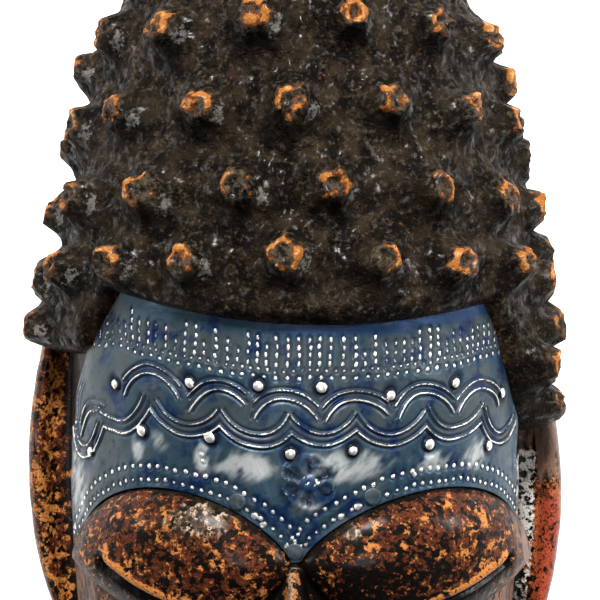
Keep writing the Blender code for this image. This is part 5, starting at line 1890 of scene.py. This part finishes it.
orange = mix(tree, ear_mask, VARNISH_ORANGE, EAR_RED)
varnish = layered(tree, VARNISH_DARK, VARNISH_RED, amount=0.50, size=0.0012, seed=6.0, softness=0.12)
varnish = layered(tree, varnish, orange, amount=0.40, size=0.0015, seed=13.0, softness=0.04)
# Brighter orange on the lids' worn rims and, as a painted highlight, on the nose's ridge
bright = amount_of(tree, 0.42, (ear_mask, 0.16), (rim_mask, 0.42))
varnish = layered(tree, varnish, orange, amount=bright, size=0.0048, seed=7.0, softness=0.03, stretch=1.15)
# Painted highlight in cream: the top of the left lobe, the nose's ridge and the left ear's outer edge
cream = part_of(tree, pale_highlight_mask, 0.80)
varnish = layered(tree, varnish, CREAM, amount=cream, size=0.0020, seed=8.0, softness=0.1, stretch=0.3)
# Painted highlight in silver beside the right end of the sheet and on the right ear
silver = part_of(tree, highlight_mask, 0.84)
varnish = layered(tree, varnish, HIGHLIGHT_SILVER, amount=silver, size=0.0016, seed=9.0, softness=0.06)
specks = amount_of(tree, 0.48, (ear_mask, -0.06), (painted_shade_mask, 0.35), (rim_mask, -0.16))
face_colour = layered(tree, varnish, INK, amount=specks, size=0.0023, seed=10.0, softness=0.03, stretch=1.1)
face_colour = layered(tree, face_colour, INK, amount=0.42, size=0.0008, seed=14.0, softness=0.05)
# Painted sheen in pinkish grey at the temples and the ears' outer edges; the same grey lies under the lids
# and on the right ear's smoky top
veil = part_of(tree, temple_mask, 0.51)
face_colour = layered(
    tree, face_colour, PINK_GREY, amount=veil, size=0.0022, seed=16.0, softness=0.12, stretch=0.25)
# Streaks of dark brown through the painted highlights
streaks = patches(tree, amount=0.52, size=0.0017, seed=17.0, softness=0.05, stretch=0.20)
face_colour = mix(tree, calculate(tree, "MULTIPLY", pale_highlight_mask, streaks), face_colour, DARK_BROWN)
print("with the varnish it takes", len(tree.nodes), "nodes")

# %% [markdown]
# Last come gloss and grain, after painted shade darkens the wood towards black
# by its mask. The varnished face is smoother than the hair, and old lacquer
# makes the hair gleam only in patches.

# %% Finish the wood
wood_colour = mix(tree, hair, face_colour, hair_colour)
# Painted shade: the dark mask mixes the wood towards black in creases, cuts, hollows and at the knobs' feet
wood_colour = mix(tree, part_of(tree, painted_shade_mask, 0.55), wood_colour, INK)
tree.links.new(wood_colour, shader.inputs["Base Color"])
smoothest = ranged(tree, hair, low=0.24, high=0.30)
roughest = ranged(tree, hair, low=0.50, high=0.62)
roughness = ranged(tree, grain(tree, size=0.0020, seed=2.0), smoothest, roughest, start=0.3, end=0.7)
tree.links.new(roughness, shader.inputs["Roughness"])
pores = wire(tree, "Math", {0: grain(tree, size=0.0009, seed=1.0), 1: grain(tree, size=0.0024, seed=4.0)},
             operation="ADD")
strength = ranged(tree, hair, low=0.55, high=1.0)
bumped = wire(tree, "Bump", {"Strength": strength, "Distance": 0.0010, "Height": pores})
tree.links.new(bumped, shader.inputs["Normal"])
lacquer = patches(tree, amount=0.45, size=0.0030, seed=15.0, softness=0.08)
gloss = ranged(tree, hair, low=0.14, high=ranged(tree, lacquer, low=0.0, high=0.32))
tree.links.new(gloss, shader.inputs["Coat Weight"])
shader.inputs["Coat Roughness"].default_value = 0.25
shader.inputs["Specular IOR Level"].default_value = 0.03
wood.data.materials.append(wood_material)
print(wood_material.name, "has", len(tree.nodes), "nodes")

# %% [markdown]
# ### Painted aluminium
#
# The blue paint was wiped while wet: it stays dark in the hollows around studs
# and dots, and comes off the raised marks, where the bare metal shines. It is
# greyer among the strokes and arcs, and a purer blue right under the hair.

# %% Sheet material
STEEL_BLUE = (0.026, 0.056, 0.082)
GREY_BLUE = (0.052, 0.068, 0.075)
NAVY = (0.0035, 0.019, 0.066)
BAND_BLUE = (0.018, 0.046, 0.115)
CLOUDY = (0.44, 0.47, 0.47)
SILVER = (0.86, 0.84, 0.79)

sheet_material, tree, shader = new_material("blue_aluminium")
bright_mask, shade_mask, rub_mask, band_mask, grey_mask = (attribute(tree, name) for name in sheet_masks)
greyer = amount_of(tree, 0.41, (grey_mask, 0.22))
paint = layered(tree, STEEL_BLUE, GREY_BLUE, amount=greyer, size=0.0090, seed=1.0, softness=0.14)
paint = layered(tree, paint, NAVY, amount=0.43, size=0.0070, seed=2.0, softness=0.09)
bluer = part_of(tree, band_mask, 0.75)
paint = layered(tree, paint, BAND_BLUE, amount=bluer, size=0.0150, seed=8.0, softness=0.2)
paint = mix(tree, part_of(tree, shade_mask, 0.75), paint, NAVY)
darkest = calculate(tree, "POWER", shade_mask, 4.0)
paint = mix(tree, part_of(tree, darkest, 0.8), paint, INK)
paint = mix(tree, part_of(tree, rub_mask, 0.85), paint, CLOUDY)
bare = patches(tree, amount=part_of(tree, bright_mask, 0.98), size=0.0010, seed=3.0, softness=0.12)
tree.links.new(mix(tree, bare, paint, SILVER), shader.inputs["Base Color"])
tree.links.new(ranged(tree, bare, low=0.35, high=0.80), shader.inputs["Metallic"])
roughness = ranged(tree, grain(tree, size=0.0030, seed=3.0), low=0.30, high=0.50, start=0.3, end=0.7)
tree.links.new(roughness, shader.inputs["Roughness"])
scratches = grain(tree, size=0.0011, seed=4.0)
bumped = wire(tree, "Bump", {"Strength": 0.35, "Distance": 0.0003, "Height": scratches})
tree.links.new(bumped, shader.inputs["Normal"])
shader.inputs["Specular IOR Level"].default_value = 0.2
sheet.data.materials.append(sheet_material)
print(sheet_material.name, "has", len(tree.nodes), "nodes")

# %% [markdown]
# ### Nail heads
#
# The heads are dull grey steel with a rubbed rim, and some of the sheet's blue
# got on them.

# %% Nail material
DULL_STEEL = (0.085, 0.095, 0.100)
RUBBED_STEEL = (0.62, 0.60, 0.55)

nail_material, tree, shader = new_material("nail_steel")
steel = layered(tree, DULL_STEEL, STEEL_BLUE, amount=0.50, size=0.0022, seed=5.0, softness=0.12)
rubbed_edge = part_of(tree, attribute(tree, "edge"), 0.7)
bare = patches(tree, amount=rubbed_edge, size=0.0012, seed=6.0, softness=0.15)
tree.links.new(mix(tree, bare, steel, RUBBED_STEEL), shader.inputs["Base Color"])
tree.links.new(ranged(tree, bare, low=0.4, high=0.8), shader.inputs["Metallic"])
roughness = ranged(tree, grain(tree, size=0.0010, seed=7.0), low=0.3, high=0.6)
tree.links.new(roughness, shader.inputs["Roughness"])
for nail in nails:
    nail.data.materials.append(nail_material)
print(nail_material.name, "has", len(tree.nodes), "nodes")

# %% [markdown]
# ## Floor, light and camera
#
# The mask lies on its back on a pale floor. The floor glows a little, like a
# light table, so that it stays a plain white ground without washing out the
# dark wood with strong lamps.

# %% Floor
FLOOR_SIZE = 6.0
FLOOR_COLOUR = (0.90, 0.90, 0.895, 1)
FLOOR_GLOW = 0.85

bpy.ops.mesh.primitive_plane_add(size=FLOOR_SIZE, location=(0, 0, 0))
floor = bpy.context.object
floor.name = "floor"
floor_material, tree, shader = new_material("pale_floor")
shader.inputs["Base Color"].default_value = FLOOR_COLOUR
shader.inputs["Roughness"].default_value = 0.65
shader.inputs["Emission Color"].default_value = (1.0, 1.0, 1.0, 1)
shader.inputs["Emission Strength"].default_value = FLOOR_GLOW
floor.data.materials.append(floor_material)
print("the floor is", FLOOR_SIZE, "m wide")

# %% [markdown]
# Four soft lamps light the mask. The strongest stands beyond the crown, so each
# knob is bright on the side towards it and shaded on the other. A weak one above
# opens the shadows, one at the right draws the streak down the varnished ear,
# and a faint one at the left lifts the other ear.

# %% Light
# Name, place, size, power and colour
LAMPS = (
    ("key", (-0.12, 1.12, 1.15), 0.28, 37.0, (1.0, 0.98, 0.95)),
    ("top", (0.15, -0.10, 1.9), 0.5, 7.5, (1.0, 1.0, 1.0)),
    ("right", (1.1, 0.45, 0.50), 0.25, 11.0, (1.0, 0.98, 0.96)),
    ("left", (-1.2, 0.40, 0.45), 0.30, 4.5, (0.97, 0.98, 1.0)),
)
LIT_HEIGHT = 0.05
WORLD_STRENGTH = 0.04

lit_place = Vector((0, HAIRLINE_Y, LIT_HEIGHT))
for name, place, size, power, colour in LAMPS:
    lamp_data = bpy.data.lights.new(name, "AREA")
    lamp_data.size, lamp_data.energy, lamp_data.color = size, power, colour
    lamp = bpy.data.objects.new(name, lamp_data)
    lamp.location = place
    lamp.rotation_euler = (lit_place - Vector(place)).to_track_quat("-Z", "Y").to_euler()
    bpy.context.scene.collection.objects.link(lamp)
world = bpy.data.worlds.new("studio")
world.use_nodes = True
world.node_tree.nodes["Background"].inputs["Color"].default_value = (1.0, 1.0, 1.0, 1.0)
world.node_tree.nodes["Background"].inputs["Strength"].default_value = WORLD_STRENGTH
bpy.context.scene.world = world
bpy.context.scene.view_settings.view_transform = "Standard"
print(len(LAMPS), "lamps give", sum(lamp[3] for lamp in LAMPS), "W")

# %% [markdown]
# The camera looks straight down on the upper half of the face. Its lens is long,
# so the mask is hardly distorted, and it is worked out from the width that the
# picture shows at the height of the forehead.

# %% Camera
CAMERA_X = 0.0015
CAMERA_ABOVE_HAIRLINE = 0.0075
CAMERA_HEIGHT = 1.15
FOREHEAD_HEIGHT = 0.06
FRAME_WIDTH = 0.180
SENSOR = 36.0

camera_data = bpy.data.cameras.new("camera")
camera_data.sensor_width = SENSOR
camera_data.lens = SENSOR * (CAMERA_HEIGHT - FOREHEAD_HEIGHT) / FRAME_WIDTH
camera = bpy.data.objects.new("camera", camera_data)
camera.location = (CAMERA_X, HAIRLINE_Y + CAMERA_ABOVE_HAIRLINE, CAMERA_HEIGHT)
bpy.context.scene.collection.objects.link(camera)
bpy.context.scene.camera = camera
print("the lens is", round(camera_data.lens), "mm long")
